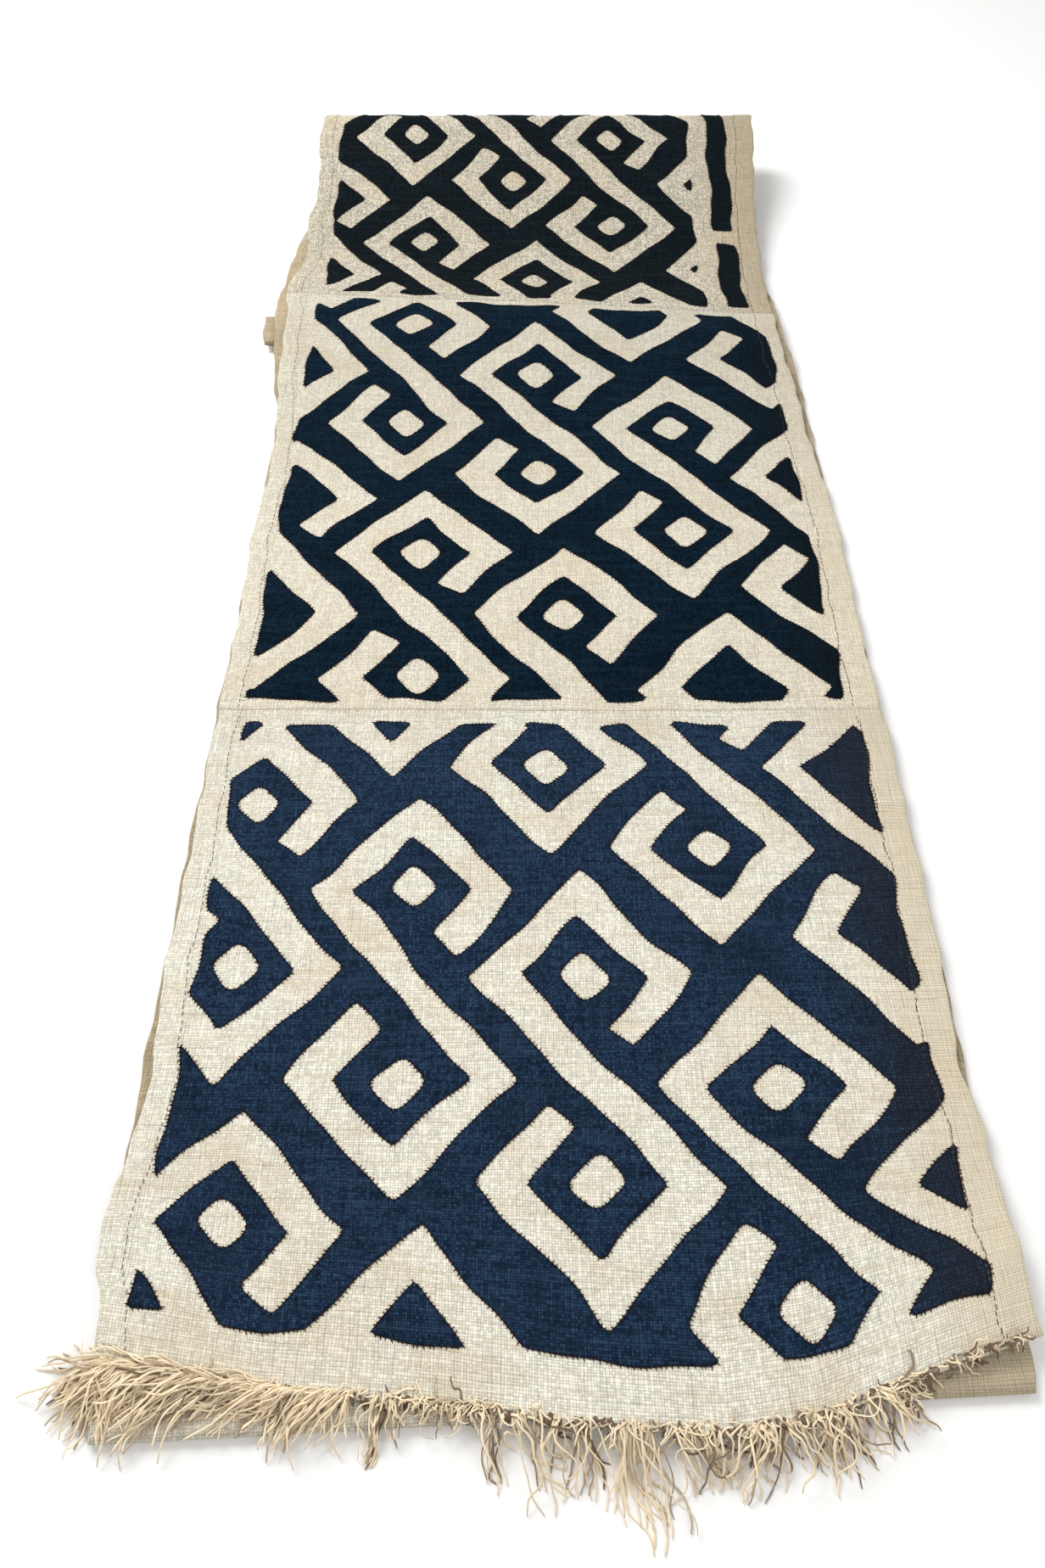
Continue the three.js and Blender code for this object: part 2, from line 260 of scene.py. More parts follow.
class ClothColours(bpy.types.PropertyGroup):
    """Colours of the raffia, the dyes and the floor."""

    natural: bpy.props.FloatVectorProperty(
        name="Natural raffia", description="Colour of the undyed cloth",
        subtype="COLOR", size=3, default=(0.778, 0.730, 0.600))
    aged: bpy.props.FloatVectorProperty(
        name="Aged raffia", description="Colour of the undyed cloth where it has darkened",
        subtype="COLOR", size=3, default=(0.620, 0.500, 0.315))
    indigo: bpy.props.FloatVectorProperty(
        name="Front dye", description="Colour of the patches nearest the frayed end",
        subtype="COLOR", size=3, default=(0.0112, 0.0255, 0.0530))
    indigo_middle: bpy.props.FloatVectorProperty(
        name="Middle dye", description="Colour of the patches on the second panel",
        subtype="COLOR", size=3, default=(0.0016, 0.0092, 0.0190))
    indigo_far: bpy.props.FloatVectorProperty(
        name="Far dye", description="Colour of the patches on the far panel",
        subtype="COLOR", size=3, default=(0.0030, 0.0066, 0.0090))
    faded: bpy.props.FloatVectorProperty(
        name="Faded dye", description="Colour of the front patches towards the right hem",
        subtype="COLOR", size=3, default=(0.0145, 0.0175, 0.0240))
    thread: bpy.props.FloatVectorProperty(
        name="Outline thread", description="Colour of the thread round the patches",
        subtype="COLOR", size=3, default=(0.022, 0.009, 0.008))
    hem_thread: bpy.props.FloatVectorProperty(
        name="Hem thread", description="Colour of the running stitch along the hems",
        subtype="COLOR", size=3, default=(0.110, 0.085, 0.055))
    frayed: bpy.props.FloatVectorProperty(
        name="Frayed raffia", description="Colour of the loose warp ends",
        subtype="COLOR", size=3, default=(0.800, 0.665, 0.465))
    # Painted shade: the colour that the low loose ends take in place of the shade deep in the fringe.
    shaded: bpy.props.FloatVectorProperty(
        name="Shaded raffia", description="Colour of the loose ends that lie deep in the fringe",
        subtype="COLOR", size=3, default=(0.170, 0.108, 0.070))
    floor: bpy.props.FloatVectorProperty(
        name="Floor", description="Colour of the plain floor",
        subtype="COLOR", size=3, default=(0.93, 0.93, 0.925))


class StudioSettings(bpy.types.PropertyGroup):
    """The camera and the lights."""

    lens: bpy.props.FloatProperty(
        name="Lens", description="Focal length on a 36 mm long side", default=26.0)
    eye_height: bpy.props.FloatProperty(
        name="Camera height", description="Height of the camera over the floor",
        default=0.8224, unit="LENGTH")
    eye_back: bpy.props.FloatProperty(
        name="Camera back", description="How far the camera stands in front of the middle",
        default=0.9086, unit="LENGTH")
    eye_left: bpy.props.FloatProperty(
        name="Camera left", description="How far the camera stands left of the middle",
        default=0.00625, unit="LENGTH")
    pitch: bpy.props.FloatProperty(
        name="Camera pitch", description="Angle of the camera's view below the horizon",
        default=math.radians(53.3), subtype="ANGLE")
    key: bpy.props.FloatProperty(
        name="Main light", description="Strength of the large light at the far left",
        default=84.0, unit="POWER")
    fill: bpy.props.FloatProperty(
        name="Fill light", description="Strength of the light at the near right",
        default=17.0, unit="POWER")
    sky: bpy.props.FloatProperty(
        name="Room light", description="Strength of the even light all round", default=0.54)


def smooth_curve(points, steps):
    """A centripetal curve through the points, with the same number of steps in each span."""
    ends = np.vstack([2 * points[0] - points[1], points, 2 * points[-1] - points[-2]])
    spans = []
    for i in range(len(points) - 1):
        p0, p1, p2, p3 = ends[i : i + 4]
        d0, d1, d2 = (max(np.linalg.norm(b - a) ** 0.5, 1e-4) for a, b in ((p0, p1), (p1, p2), (p2, p3)))
        t1 = ((p1 - p0) / d0 - (p2 - p0) / (d0 + d1) + (p2 - p1) / d1) * d1
        t2 = ((p2 - p1) / d1 - (p3 - p1) / (d1 + d2) + (p3 - p2) / d2) * d1
        t = np.linspace(0, 1, steps, endpoint=False)[:, None]
        square = -3 * p1 + 3 * p2 - 2 * t1 - t2
        cube = 2 * p1 - 2 * p2 + t1 + t2
        spans.append(p1 + t1 * t + square * t * t + cube * t**3)
    return np.vstack([*spans, points[-1:]])


LINE = smooth_curve(SECTION[:, :2], CURVE_STEPS)
EDGES = smooth_curve(SECTION[:, 2:], CURVE_STEPS)
LENGTHS = np.concatenate([[0], np.cumsum(np.linalg.norm(np.diff(LINE, axis=0), axis=1))])
TANGENTS = np.gradient(LINE, axis=0)
TANGENTS /= np.linalg.norm(TANGENTS, axis=1)[:, None]
FAR_TIP = LENGTHS[(len(TOP_LAYER) + 2) * CURVE_STEPS]
CLOTH_END = LENGTHS[-1]


def along(s, values):
    """Values of the section line at lengths s."""
    return np.interp(s, LENGTHS, values)


def fade(distance, reach):
    """One at no distance, zero from reach onwards, smooth between."""
    t = np.clip(np.abs(distance) / reach, 0, 1)
    return 1 - t * t * (3 - 2 * t)


def step(value, low, high):
    """Zero below low, one above high, smooth between."""
    t = np.clip((value - low) / (high - low), 0, 1)
    return t * t * (3 - 2 * t)


def shift(s, x, y):
    """How far the cloth's straight rows lie shifted along Y."""
    low = FOLD_SKEW * x * fade(y, FOLD_REACH)
    bow = np.interp(x, FRONT_EDGE[:, 0], FRONT_EDGE[:, 1]) * fade(np.maximum(s, 0), FRONT_REACH)
    top = bow + HUMP_SKEW * x * fade(s - HUMP_AT, HUMP_REACH)
    return np.where(s > FAR_TIP, low, top)


def raised(x, y):
    """How far the top layer stands up from its section: its waves, and its raised corner."""
    waves = sum(
        height / 2 * (1 + np.sin(x / across + y / down + start)) for height, across, down, start in WAVES
    )
    corner = CORNER_LIFT * fade(np.hypot(x - CORNER_X, y - CORNER_Y), CORNER_REACH)
    return waves * fade(np.maximum(0, y - WAVES_END), WAVES_FADE) + corner


def cloth_points(s, x, above):
    """Places in metres of the cloth at s and x, so far above the middle of the weave."""
    s, x, above = np.broadcast_arrays(s, x, above)
    y = along(s, LINE[:, 0])
    z = np.maximum(along(s, LINE[:, 1]), HALF)
    up_y = along(s, -TANGENTS[:, 1])
    up_z = along(s, TANGENTS[:, 0])
    lift = np.where(s > FAR_TIP, 0, raised(x, y))
    y_out = y + shift(s, x, y) + up_y * above
    z_out = np.maximum(0, z + lift + up_z * above)
    return np.stack([x - ORIGIN_X, y_out - ORIGIN_Y, z_out], -1) * MM


def edge_wave(s, phase):
    """The small waves of a hand-folded hem's edge."""
    long_wave = 0.9 * np.sin(s / 11.3 + phase) + 0.7 * np.sin(s / 27.0 + 2.1 * phase)
    return long_wave + 0.5 * np.sin(s / 6.1 + phase)


def left_edge(s):
    return along(s, EDGES[:, 0]) + edge_wave(s, 0.4)


def right_edge(s):
    return along(s, EDGES[:, 1]) + edge_wave(s, 2.3)


def crease(x, s, row):
    """One soft ridge between two points, fading out at both ends."""
    x0, s0, x1, s1, width, height = row
    dx, ds = x1 - x0, s1 - s0
    t = ((x - x0) * dx + (s - s0) * ds) / (dx * dx + ds * ds)
    wander = 3 * np.sin(7 * t + x0)
    off = ((x - x0) * ds - (s - s0) * dx) / math.hypot(dx, ds) + wander
    return height * np.exp(-((off / width) ** 2)) * step(t, -0.15, 0.15) * (1 - step(t, 0.85, 1.15))


def relief(x, s, sizes):
    """How far the upper face stands above the plain weave: creases, puckered hems and seams."""
    left, right = left_edge(s), right_edge(s)
    hem_l, hem_r = sizes.hem_left / MM, sizes.hem_right / MM
    in_left = 1 - step(x - left, hem_l - 0.8, hem_l + 0.8)
    in_right = 1 - step(right - x, hem_r - 0.8, hem_r + 0.8)
    in_hem = np.maximum(in_left, in_right)
    face = 1 - step(s, FAR_TIP, FAR_TIP + 100)
    from_edge = np.minimum(x - left, right - x)
    pucker = np.sin(s / 2.9 + 2.2 * np.sin(s / 23) + from_edge / 9) * (0.5 + 0.5 * np.sin(s / 37 + x / 90))
    pucker = 0.42 * np.maximum(pucker, -0.4) * in_hem * step(from_edge, 0, 4)
    uneven = (
        0.22 * np.sin(x / 13.7 + s / 31) + 0.2 * np.sin(x / 29 - s / 17.3 + 1)
        + 0.12 * np.sin(x / 7.1 + s / 9.7 + 2) + 0.12 * np.sin(s / 8.3 - x / 12.1)
    )
    ridges = sum(crease(x, s, row) for row in CREASES)
    seams = sum(0.5 * fade(s - end, 10) for _, _, end in PANELS[: FACE_PANELS - 1])
    return in_hem * sizes.hem_rise / MM + face * (pucker + uneven + ridges + seams)


def columns(s, grid, sizes):
    """The x of each mesh line at each length s: close together at the hems, even between them."""
    hem_l, hem_r = sizes.hem_left / MM, sizes.hem_right / MM
    edge = np.array([0, 0.7, 2.2])
    left_hem = np.concatenate([edge, np.linspace(5, hem_l - 1, max(2, round(hem_l / grid))), [hem_l + 1]])
    right_hem = np.concatenate([edge, np.linspace(5, hem_r - 1, max(2, round(hem_r / grid))), [hem_r + 1]])
    inner = np.linspace(0, 1, max(4, round((CLOTH_WIDTH / MM - hem_l - hem_r) / grid)))[1:-1]
    left, right = left_edge(s)[:, None], right_edge(s)[:, None]
    from_left = left + left_hem
    from_right = (right - right_hem)[:, ::-1]
    middle = from_left[:, -1:] + (from_right[:, :1] - from_left[:, -1:]) * inner
    return np.hstack([from_left, middle, from_right])


def rounded(x, s):
    """The share of its full thickness that the cloth has this close to its folded edge."""
    from_edge = np.minimum(x - left_edge(s), right_edge(s) - x)
    return np.sqrt(np.clip(from_edge / 2.2, 0.02, 1) * (2 - np.clip(from_edge / 2.2, 0.02, 1)))


def upper_face(x, s, sizes):
    """How far the upper face lies above the middle of the weave."""
    return (HALF + relief(x, s, sizes)) * rounded(x, s)


def mesh_object(name, points, faces, materials, plan=None, tone=None, smooth=True):
    """A new object from points in metres and faces, with its places on the cloth and its tones."""
    mesh = bpy.data.meshes.new(name)
    mesh.from_pydata(points.reshape(-1, 3).tolist(), [], faces)
    for attribute, values, kind, key in (
        ("plan", plan, "FLOAT_VECTOR", "vector"),
        ("tone", tone, "FLOAT", "value"),
    ):
        if values is not None:
            layer = mesh.attributes.new(attribute, kind, "POINT")
            layer.data.foreach_set(key, np.ascontiguousarray(values, np.float32).ravel())
    for material in materials:
        mesh.materials.append(material)
    mesh.polygons.foreach_set("use_smooth", [smooth] * len(mesh.polygons))
    mesh.validate()
    mesh.update()
    made = bpy.data.objects.new(name, mesh)
    bpy.context.scene.collection.objects.link(made)
    return made


def quads(rows, cols, start=0, flip=False):
    """Faces of a grid of points, row by row."""
    i, j = np.meshgrid(np.arange(rows - 1), np.arange(cols - 1), indexing="ij")
    a = (start + i * cols + j).ravel()
    found = np.stack([a, a + 1, a + 1 + cols, a + cols], 1)
    return found[:, ::-1] if flip else found


def sheet_mesh(begin, end, grid, sizes):
    """One panel as a closed sheet: points in metres, faces, and each point's place on the cloth."""
    rows = max(2, round((end - begin) / grid)) + 1
    s = np.linspace(begin, end, rows)
    x = columns(s, grid, sizes)
    s = np.broadcast_to(s[:, None], x.shape)
    top = upper_face(x, s, sizes)
    bottom = -HALF * rounded(x, s)
    count = x.size
    cols = x.shape[1]
    points = np.concatenate([cloth_points(s, x, rise).reshape(-1, 3) for rise in (top, bottom)])
    faces = [quads(rows, cols), quads(rows, cols, count, flip=True)]
    for line in (np.arange(cols), (rows - 1) * cols + np.arange(cols)):
        a, b = line[:-1], line[1:]
        rim = np.stack([a, a + count, b + count, b], 1)
        faces.append(rim if line[0] == 0 else rim[:, ::-1])
    for line in (np.arange(rows) * cols, np.arange(rows) * cols + cols - 1):
        a, b = line[:-1], line[1:]
        rim = np.stack([a, b, b + count, a + count], 1)
        faces.append(rim if line[0] == 0 else rim[:, ::-1])
    side = np.concatenate([np.zeros(count), np.ones(count)])
    plan = np.stack([np.tile(x.ravel(), 2) * MM, np.tile(s.ravel(), 2) * MM, side], 1)
    return points, np.vstack(faces).tolist(), plan


def band_line(far, near, reach):
    """The middle line of one light band, wound once round each of its two eyes."""
    wide, deep = reach
    loop = [(LOOP_START[0] * wide, LOOP_START[1] * deep), (wide, 0), (0, deep), (-wide, 0)]
    half = [far + np.array(p) for p in loop]
    return np.array(half + [far + near - p for p in half[::-1]])


def outline(line, half):
    """The polygon round a line, half a width away, with mitred corners."""
    along_line = np.diff(line, axis=0)
    along_line /= np.linalg.norm(along_line, axis=1)[:, None]
    normals = np.stack([-along_line[:, 1], along_line[:, 0]], 1)
    mitres = np.vstack([normals[:1], normals[:-1] + normals[1:], normals[-1:]])
    inner = np.ones((len(line), 1)) * 2
    inner[[0, -1]] = 1
    mitres = mitres / np.maximum((mitres**2).sum(1), 1e-9)[:, None] * inner
    mitres *= np.minimum(1, MITRE_LIMIT / np.linalg.norm(mitres, axis=1))[:, None]
    return np.vstack([line + mitres * half, (line - mitres * half)[::-1]])


def distance_to(polygon, p):
    """Distance from points to a polygon's edge, negative inside it."""
    polygon = np.asarray(polygon, float)
    best = np.full(len(p), np.inf)
    inside = np.zeros(len(p), bool)
    for a, b in zip(polygon, np.roll(polygon, -1, axis=0)):
        edge = b - a
        away = p - a
        t = np.clip((away @ edge) / max(edge @ edge, 1e-9), 0, 1)
        best = np.minimum(best, ((away - t[:, None] * edge) ** 2).sum(1))
        if abs(edge[1]) > 1e-9:
            crossing = a[0] + (p[:, 1] - a[1]) * edge[0] / edge[1]
            inside ^= ((a[1] <= p[:, 1]) != (b[1] <= p[:, 1])) & (p[:, 0] < crossing)
    return np.where(inside, -1, 1) * np.sqrt(best)


def patch_distance(x, s, pattern):
    """Distance to the edge of the dark patches, negative on them, with the wobble of hand cutting."""
    bands, field, bars, half = pattern
    wobble_x = 2.4 * np.sin(s / 19.0 + x / 40) + 0.7 * np.sin(s / 7.0 - x / 19)
    wobble_s = 2.4 * np.sin(x / 21.0 - s / 45) + 0.7 * np.sin(x / 7.7 + s / 21)
    widened = 1.2 * np.sin(x.ravel() / 26 + s.ravel() / 33) + 0.8 * np.sin(x.ravel() / 14 - s.ravel() / 51)
    p = np.stack([(x + wobble_x).ravel(), (s + wobble_s).ravel()], 1)
    found = distance_to(field, p)
    for far, near, reach, eyes in bands:
        away = distance_to(outline(band_line(far, near, reach), half - BAND_ROUND), p)
        found = np.maximum(found, BAND_ROUND + widened - away)
        for (cx, cs), size in zip((far, near), eyes):
            if not size:
                continue
            wide, deep = EYE_WIDE * size, EYE_DEEP * size
            diamond = [(cx - wide, cs), (cx, cs - deep), (cx + wide, cs), (cx, cs + deep)]
            found = np.maximum(found, EYE_ROUND * size - distance_to(diamond, p))
    for bar in bars:
        found = np.minimum(found, distance_to(bar, p))
    return found.reshape(x.shape)


def cut_patches(x, s, value):
    """Cuts the grid along value = 0. Gives the points kept as (x, s), their faces and the cut's edges."""
    points, faces, edges = [], [], []
    known = {}

    def corner(i, j):
        key = (i, j)
        if key not in known:
            known[key] = len(points)
            points.append((x[i, j], s[i, j], 1.0))
        return known[key]

    def crossing(i, j, k, m):
        key = (min((i, j), (k, m)), max((i, j), (k, m)))
        if key not in known:
            a, b = value[key[0]], value[key[1]]
            t = a / (a - b)
            known[key] = len(points)
            px = x[key[0]] + (x[key[1]] - x[key[0]]) * t
            ps = s[key[0]] + (s[key[1]] - s[key[0]]) * t
            points.append((px, ps, 0.0))
        return known[key]

    inside = value < 0
    some = inside[:-1, :-1] | inside[1:, :-1] | inside[:-1, 1:] | inside[1:, 1:]
    for i, j in zip(*np.nonzero(some)):
        around = [(i, j), (i, j + 1), (i + 1, j + 1), (i + 1, j)]
        face, cuts = [], []
        for n in range(4):
            a, b = around[n], around[(n + 1) % 4]
            if inside[a]:
                face.append(corner(*a))
            if inside[a] != inside[b]:
                cut = crossing(*a, *b)
                face.append(cut)
                cuts.append((cut, inside[a]))
        faces.append(face)
        for n, (cut, leaving) in enumerate(cuts):
            if leaving:
                edges.append((cut, cuts[(n + 1) % len(cuts)][0]))
    return np.array(points), faces, edges


def chains(edges):
    """The cut's edges joined end to end."""
    following = dict(edges)
    starts = set(following) - set(following.values())
    found = []
    while following:
        at = starts.pop() if starts else next(iter(following))
        chain = [at]
        while at in following:
            at = following.pop(at)
            chain.append(at)
        found.append(chain)
    return found


def spaced(line, pitch):
    """Points a pitch apart along a line in (x, s), with the line's direction at each."""
    length = np.concatenate([[0], np.cumsum(np.linalg.norm(np.diff(line, axis=0), axis=1))])
    if length[-1] < pitch:
        return np.empty((0, 2)), np.empty((0, 2))
    at = np.linspace(0, length[-1], int(length[-1] / pitch) + 1)
    points = np.stack([np.interp(at, length, line[:, k]) for k in (0, 1)], 1)
    ahead = np.stack([np.interp(at + 1.5, length, line[:, k]) for k in (0, 1)], 1)
    behind = np.stack([np.interp(at - 1.5, length, line[:, k]) for k in (0, 1)], 1)
    direction = ahead - behind
    return points, direction / np.maximum(np.linalg.norm(direction, axis=1), 1e-6)[:, None]


def tubes(paths, radii, sides, flat=1.0):
    """Closed thin tubes along paths of equal step count: paths (n, steps, 3), radii (n, steps)."""
    count, steps, _ = paths.shape
    tangent = np.gradient(paths, axis=1)
    tangent /= np.maximum(np.linalg.norm(tangent, axis=2), 1e-9)[..., None]
    up = np.array([0.0, 0.0, 1.0])
    aside = np.cross(tangent, up)
    short = np.linalg.norm(aside, axis=2) < 1e-4
    aside[short] = (1, 0, 0)
    aside /= np.linalg.norm(aside, axis=2)[..., None]
    over = np.cross(aside, tangent)
    turn = (np.arange(sides) + 0.5) * 2 * math.pi / sides
    ring = (
        np.cos(turn)[None, None, :, None] * aside[:, :, None, :]
        + flat * np.sin(turn)[None, None, :, None] * over[:, :, None, :]
    )
    points = paths[:, :, None, :] + ring * radii[:, :, None, None]
    base = (np.arange(count) * steps * sides)[:, None, None]
    i = np.arange(steps - 1)[None, :, None] * sides
    j = np.arange(sides)[None, None, :]
    a, b = base + i + j, base + i + (j + 1) % sides
    walls = np.stack([a, b, b + sides, a + sides], -1).reshape(-1, 4).tolist()
    first = (base[:, 0] + np.arange(sides)[::-1]).tolist()
    last = (base[:, 0] + (steps - 1) * sides + np.arange(sides)).tolist()
    return points.reshape(-1, 3), walls + first + last


def node(tree, kind, at=(0, 0), inputs=None, **settings):
    """A shader node with its settings, its inputs linked from sockets or set to values."""
    made = tree.nodes.new(kind)
    made.location = at
    for key, value in settings.items():
        setattr(made, key, value)
    for key, value in (inputs or {}).items():
        socket = made.inputs[key]
        if isinstance(value, bpy.types.NodeSocket):
            tree.links.new(value, socket)
        else:
            socket.default_value = value
    return made


def calc(tree, operation, *values):
    """The result of one Math node."""
    return node(tree, "ShaderNodeMath", operation=operation, inputs=dict(enumerate(values))).outputs[0]


def blend(tree, factor, first, second, mode="MIX"):
    """The colour of one Mix node."""
    made = node(tree, "ShaderNodeMix", data_type="RGBA", blend_type=mode, clamp_factor=True)
    for socket, value in ((made.inputs[0], factor), (made.inputs[6], first), (made.inputs[7], second)):
        if isinstance(value, bpy.types.NodeSocket):
            tree.links.new(value, socket)
        else:
            socket.default_value = value
    return made.outputs[2]


def ramp(tree, value, low, high, to_low=0.0, to_high=1.0):
    """A value mapped from one range to another, smooth at both ends."""
    return node(
        tree, "ShaderNodeMapRange", interpolation_type="SMOOTHSTEP",
        inputs={"Value": value, "From Min": low, "From Max": high, "To Min": to_low, "To Max": to_high},
    ).outputs[0]


# The pale flecks on dyed cloth, and a place in metres that lies past every edge of the cloth.
FLECK_COLOUR = (0.14, 0.19, 0.26, 1.0)
PAST_CLOTH = 10.0


def new_group(name, inputs, outputs):
    """An empty shader group with its named sockets: returns the tree and its two end nodes."""
    tree = bpy.data.node_groups.new(name, "ShaderNodeTree")
    for side, sockets in (("INPUT", inputs), ("OUTPUT", outputs)):
        for label, kind, default in sockets:
            socket = tree.interface.new_socket(label, in_out=side, socket_type=kind)
            if default is not None:
                socket.default_value = default
    return tree, tree.nodes.new("NodeGroupInput"), tree.nodes.new("NodeGroupOutput")


def weave_group():
    """Plain weave of flat raffia threads, from a place on the cloth in metres."""
    tree, given, out = new_group(
        "Raffia weave",
        [
            ("Place", "NodeSocketVector", None),
            ("Pitch", "NodeSocketFloat", 0.0016),
            ("Unevenness", "NodeSocketFloat", 0.5),
        ],
        [
            ("Height", "NodeSocketFloat", None),
            ("Gap", "NodeSocketFloat", None),
            ("Thread Tone", "NodeSocketFloat", None),
            ("Crossing", "NodeSocketFloat", None),
        ],
    )
    split = node(tree, "ShaderNodeSeparateXYZ", inputs={0: given.outputs["Place"]})
    x, s = split.outputs[0], split.outputs[1]
    side = calc(tree, "MULTIPLY", split.outputs[2], 7.0)

    def streaks(across, down, seed):
        scaled = node(
            tree, "ShaderNodeCombineXYZ",
            inputs={0: calc(tree, "MULTIPLY", x, across), 1: calc(tree, "MULTIPLY", s, down),
                    2: calc(tree, "ADD", side, seed)},
        )
        return node(
            tree, "ShaderNodeTexNoise",
            inputs={"Vector": scaled.outputs[0], "Scale": 1.0, "Detail": 1.0, "Roughness": 0.5},
        ).outputs[0]

    uneven = given.outputs["Unevenness"]
    sway_x = calc(tree, "MULTIPLY", calc(tree, "SUBTRACT", streaks(300.0, 22.0, 3.1), 0.5), uneven)
    sway_s = calc(tree, "MULTIPLY", calc(tree, "SUBTRACT", streaks(22.0, 300.0, 8.7), 0.5), uneven)
    pitch = given.outputs["Pitch"]
    u = calc(tree, "ADD", calc(tree, "DIVIDE", x, pitch), calc(tree, "MULTIPLY", sway_x, 3.0))
    v = calc(tree, "ADD", calc(tree, "DIVIDE", s, pitch), calc(tree, "MULTIPLY", sway_s, 3.0))
    column, row = calc(tree, "FLOOR", u), calc(tree, "FLOOR", v)
    in_u = calc(tree, "MULTIPLY", calc(tree, "SUBTRACT", u, column), math.pi)
    in_v = calc(tree, "MULTIPLY", calc(tree, "SUBTRACT", v, row), math.pi)
    across, down = calc(tree, "SINE", in_u), calc(tree, "SINE", in_v)
    odd = calc(tree, "FLOORED_MODULO", calc(tree, "ADD", column, row), 2.0)
    sign = calc(tree, "SUBTRACT", calc(tree, "MULTIPLY", odd, 2.0), 1.0)

    def thread(profile, lift, direction):
        wave = calc(tree, "MULTIPLY_ADD", calc(tree, "MULTIPLY", lift, sign), 0.5 * direction, 0.5)
        return calc(tree, "MULTIPLY", calc(tree, "POWER", profile, 0.55), wave)

    warp, weft = thread(across, down, 1.0), thread(down, across, -1.0)
    height = calc(tree, "MAXIMUM", warp, weft)
    warp_shows = calc(tree, "GREATER_THAN", warp, weft)

    def thread_tone(index, other, seed):
        place = node(
            tree, "ShaderNodeCombineXYZ",
            inputs={0: calc(tree, "MULTIPLY", index, 0.73), 1: calc(tree, "MULTIPLY", other, 34.0),
                    2: calc(tree, "ADD", side, seed)},
        )
        return node(
            tree, "ShaderNodeTexNoise",
            inputs={"Vector": place.outputs[0], "Scale": 1.0, "Detail": 2.0, "Roughness": 0.65},
        ).outputs[0]

    tone = calc(
        tree, "ADD",
        calc(tree, "MULTIPLY", thread_tone(column, s, 1.7), warp_shows),
        calc(tree, "MULTIPLY", thread_tone(row, x, 5.3), calc(tree, "SUBTRACT", 1.0, warp_shows)),
    )
    crossing = node(tree, "ShaderNodeCombineXYZ", inputs={0: column, 1: row, 2: side})
    own = node(
        tree, "ShaderNodeTexWhiteNoise", noise_dimensions="3D", inputs={"Vector": crossing.outputs[0]}
    )
    own_tone = calc(tree, "SUBTRACT", own.outputs["Value"], 0.5)
    tone = calc(tree, "MULTIPLY_ADD", own_tone, 0.55, tone)
    tree.links.new(height, out.inputs["Height"])
    tree.links.new(ramp(tree, height, 0.18, 0.62, 1.0, 0.0), out.inputs["Gap"])
    tree.links.new(ramp(tree, tone, 0.28, 0.72), out.inputs["Thread Tone"])
    tree.links.new(ramp(tree, height, 0.8, 1.0), out.inputs["Crossing"])
    return tree


def wear_group():
    """Soft stains and streaks of age, from a place on the cloth in metres."""
    tree, given, out = new_group(
        "Cloth wear",
        [("Place", "NodeSocketVector", None), ("Amount", "NodeSocketFloat", 0.5)],
        [("Stain", "NodeSocketFloat", None), ("Streak", "NodeSocketFloat", None)],
    )
    wide = node(
        tree, "ShaderNodeTexNoise",
        inputs={
            "Vector": given.outputs[0], "Scale": 10.0, "Detail": 4.0, "Roughness": 0.62, "Distortion": 0.5,
        },
    ).outputs[0]
    stretched = node(
        tree, "ShaderNodeMapping", inputs={"Vector": given.outputs[0], "Scale": (16.0, 160.0, 1.0)}
    ).outputs[0]
    fine = node(
        tree, "ShaderNodeTexNoise",
        inputs={"Vector": stretched, "Scale": 1.0, "Detail": 3.0, "Roughness": 0.6},
    ).outputs[0]
    tree.links.new(
        calc(tree, "MULTIPLY", ramp(tree, wide, 0.44, 0.74), given.outputs["Amount"]), out.inputs["Stain"]
    )
    tree.links.new(
        calc(tree, "MULTIPLY", ramp(tree, fine, 0.45, 0.8), given.outputs["Amount"]), out.inputs["Streak"]
    )
    return tree


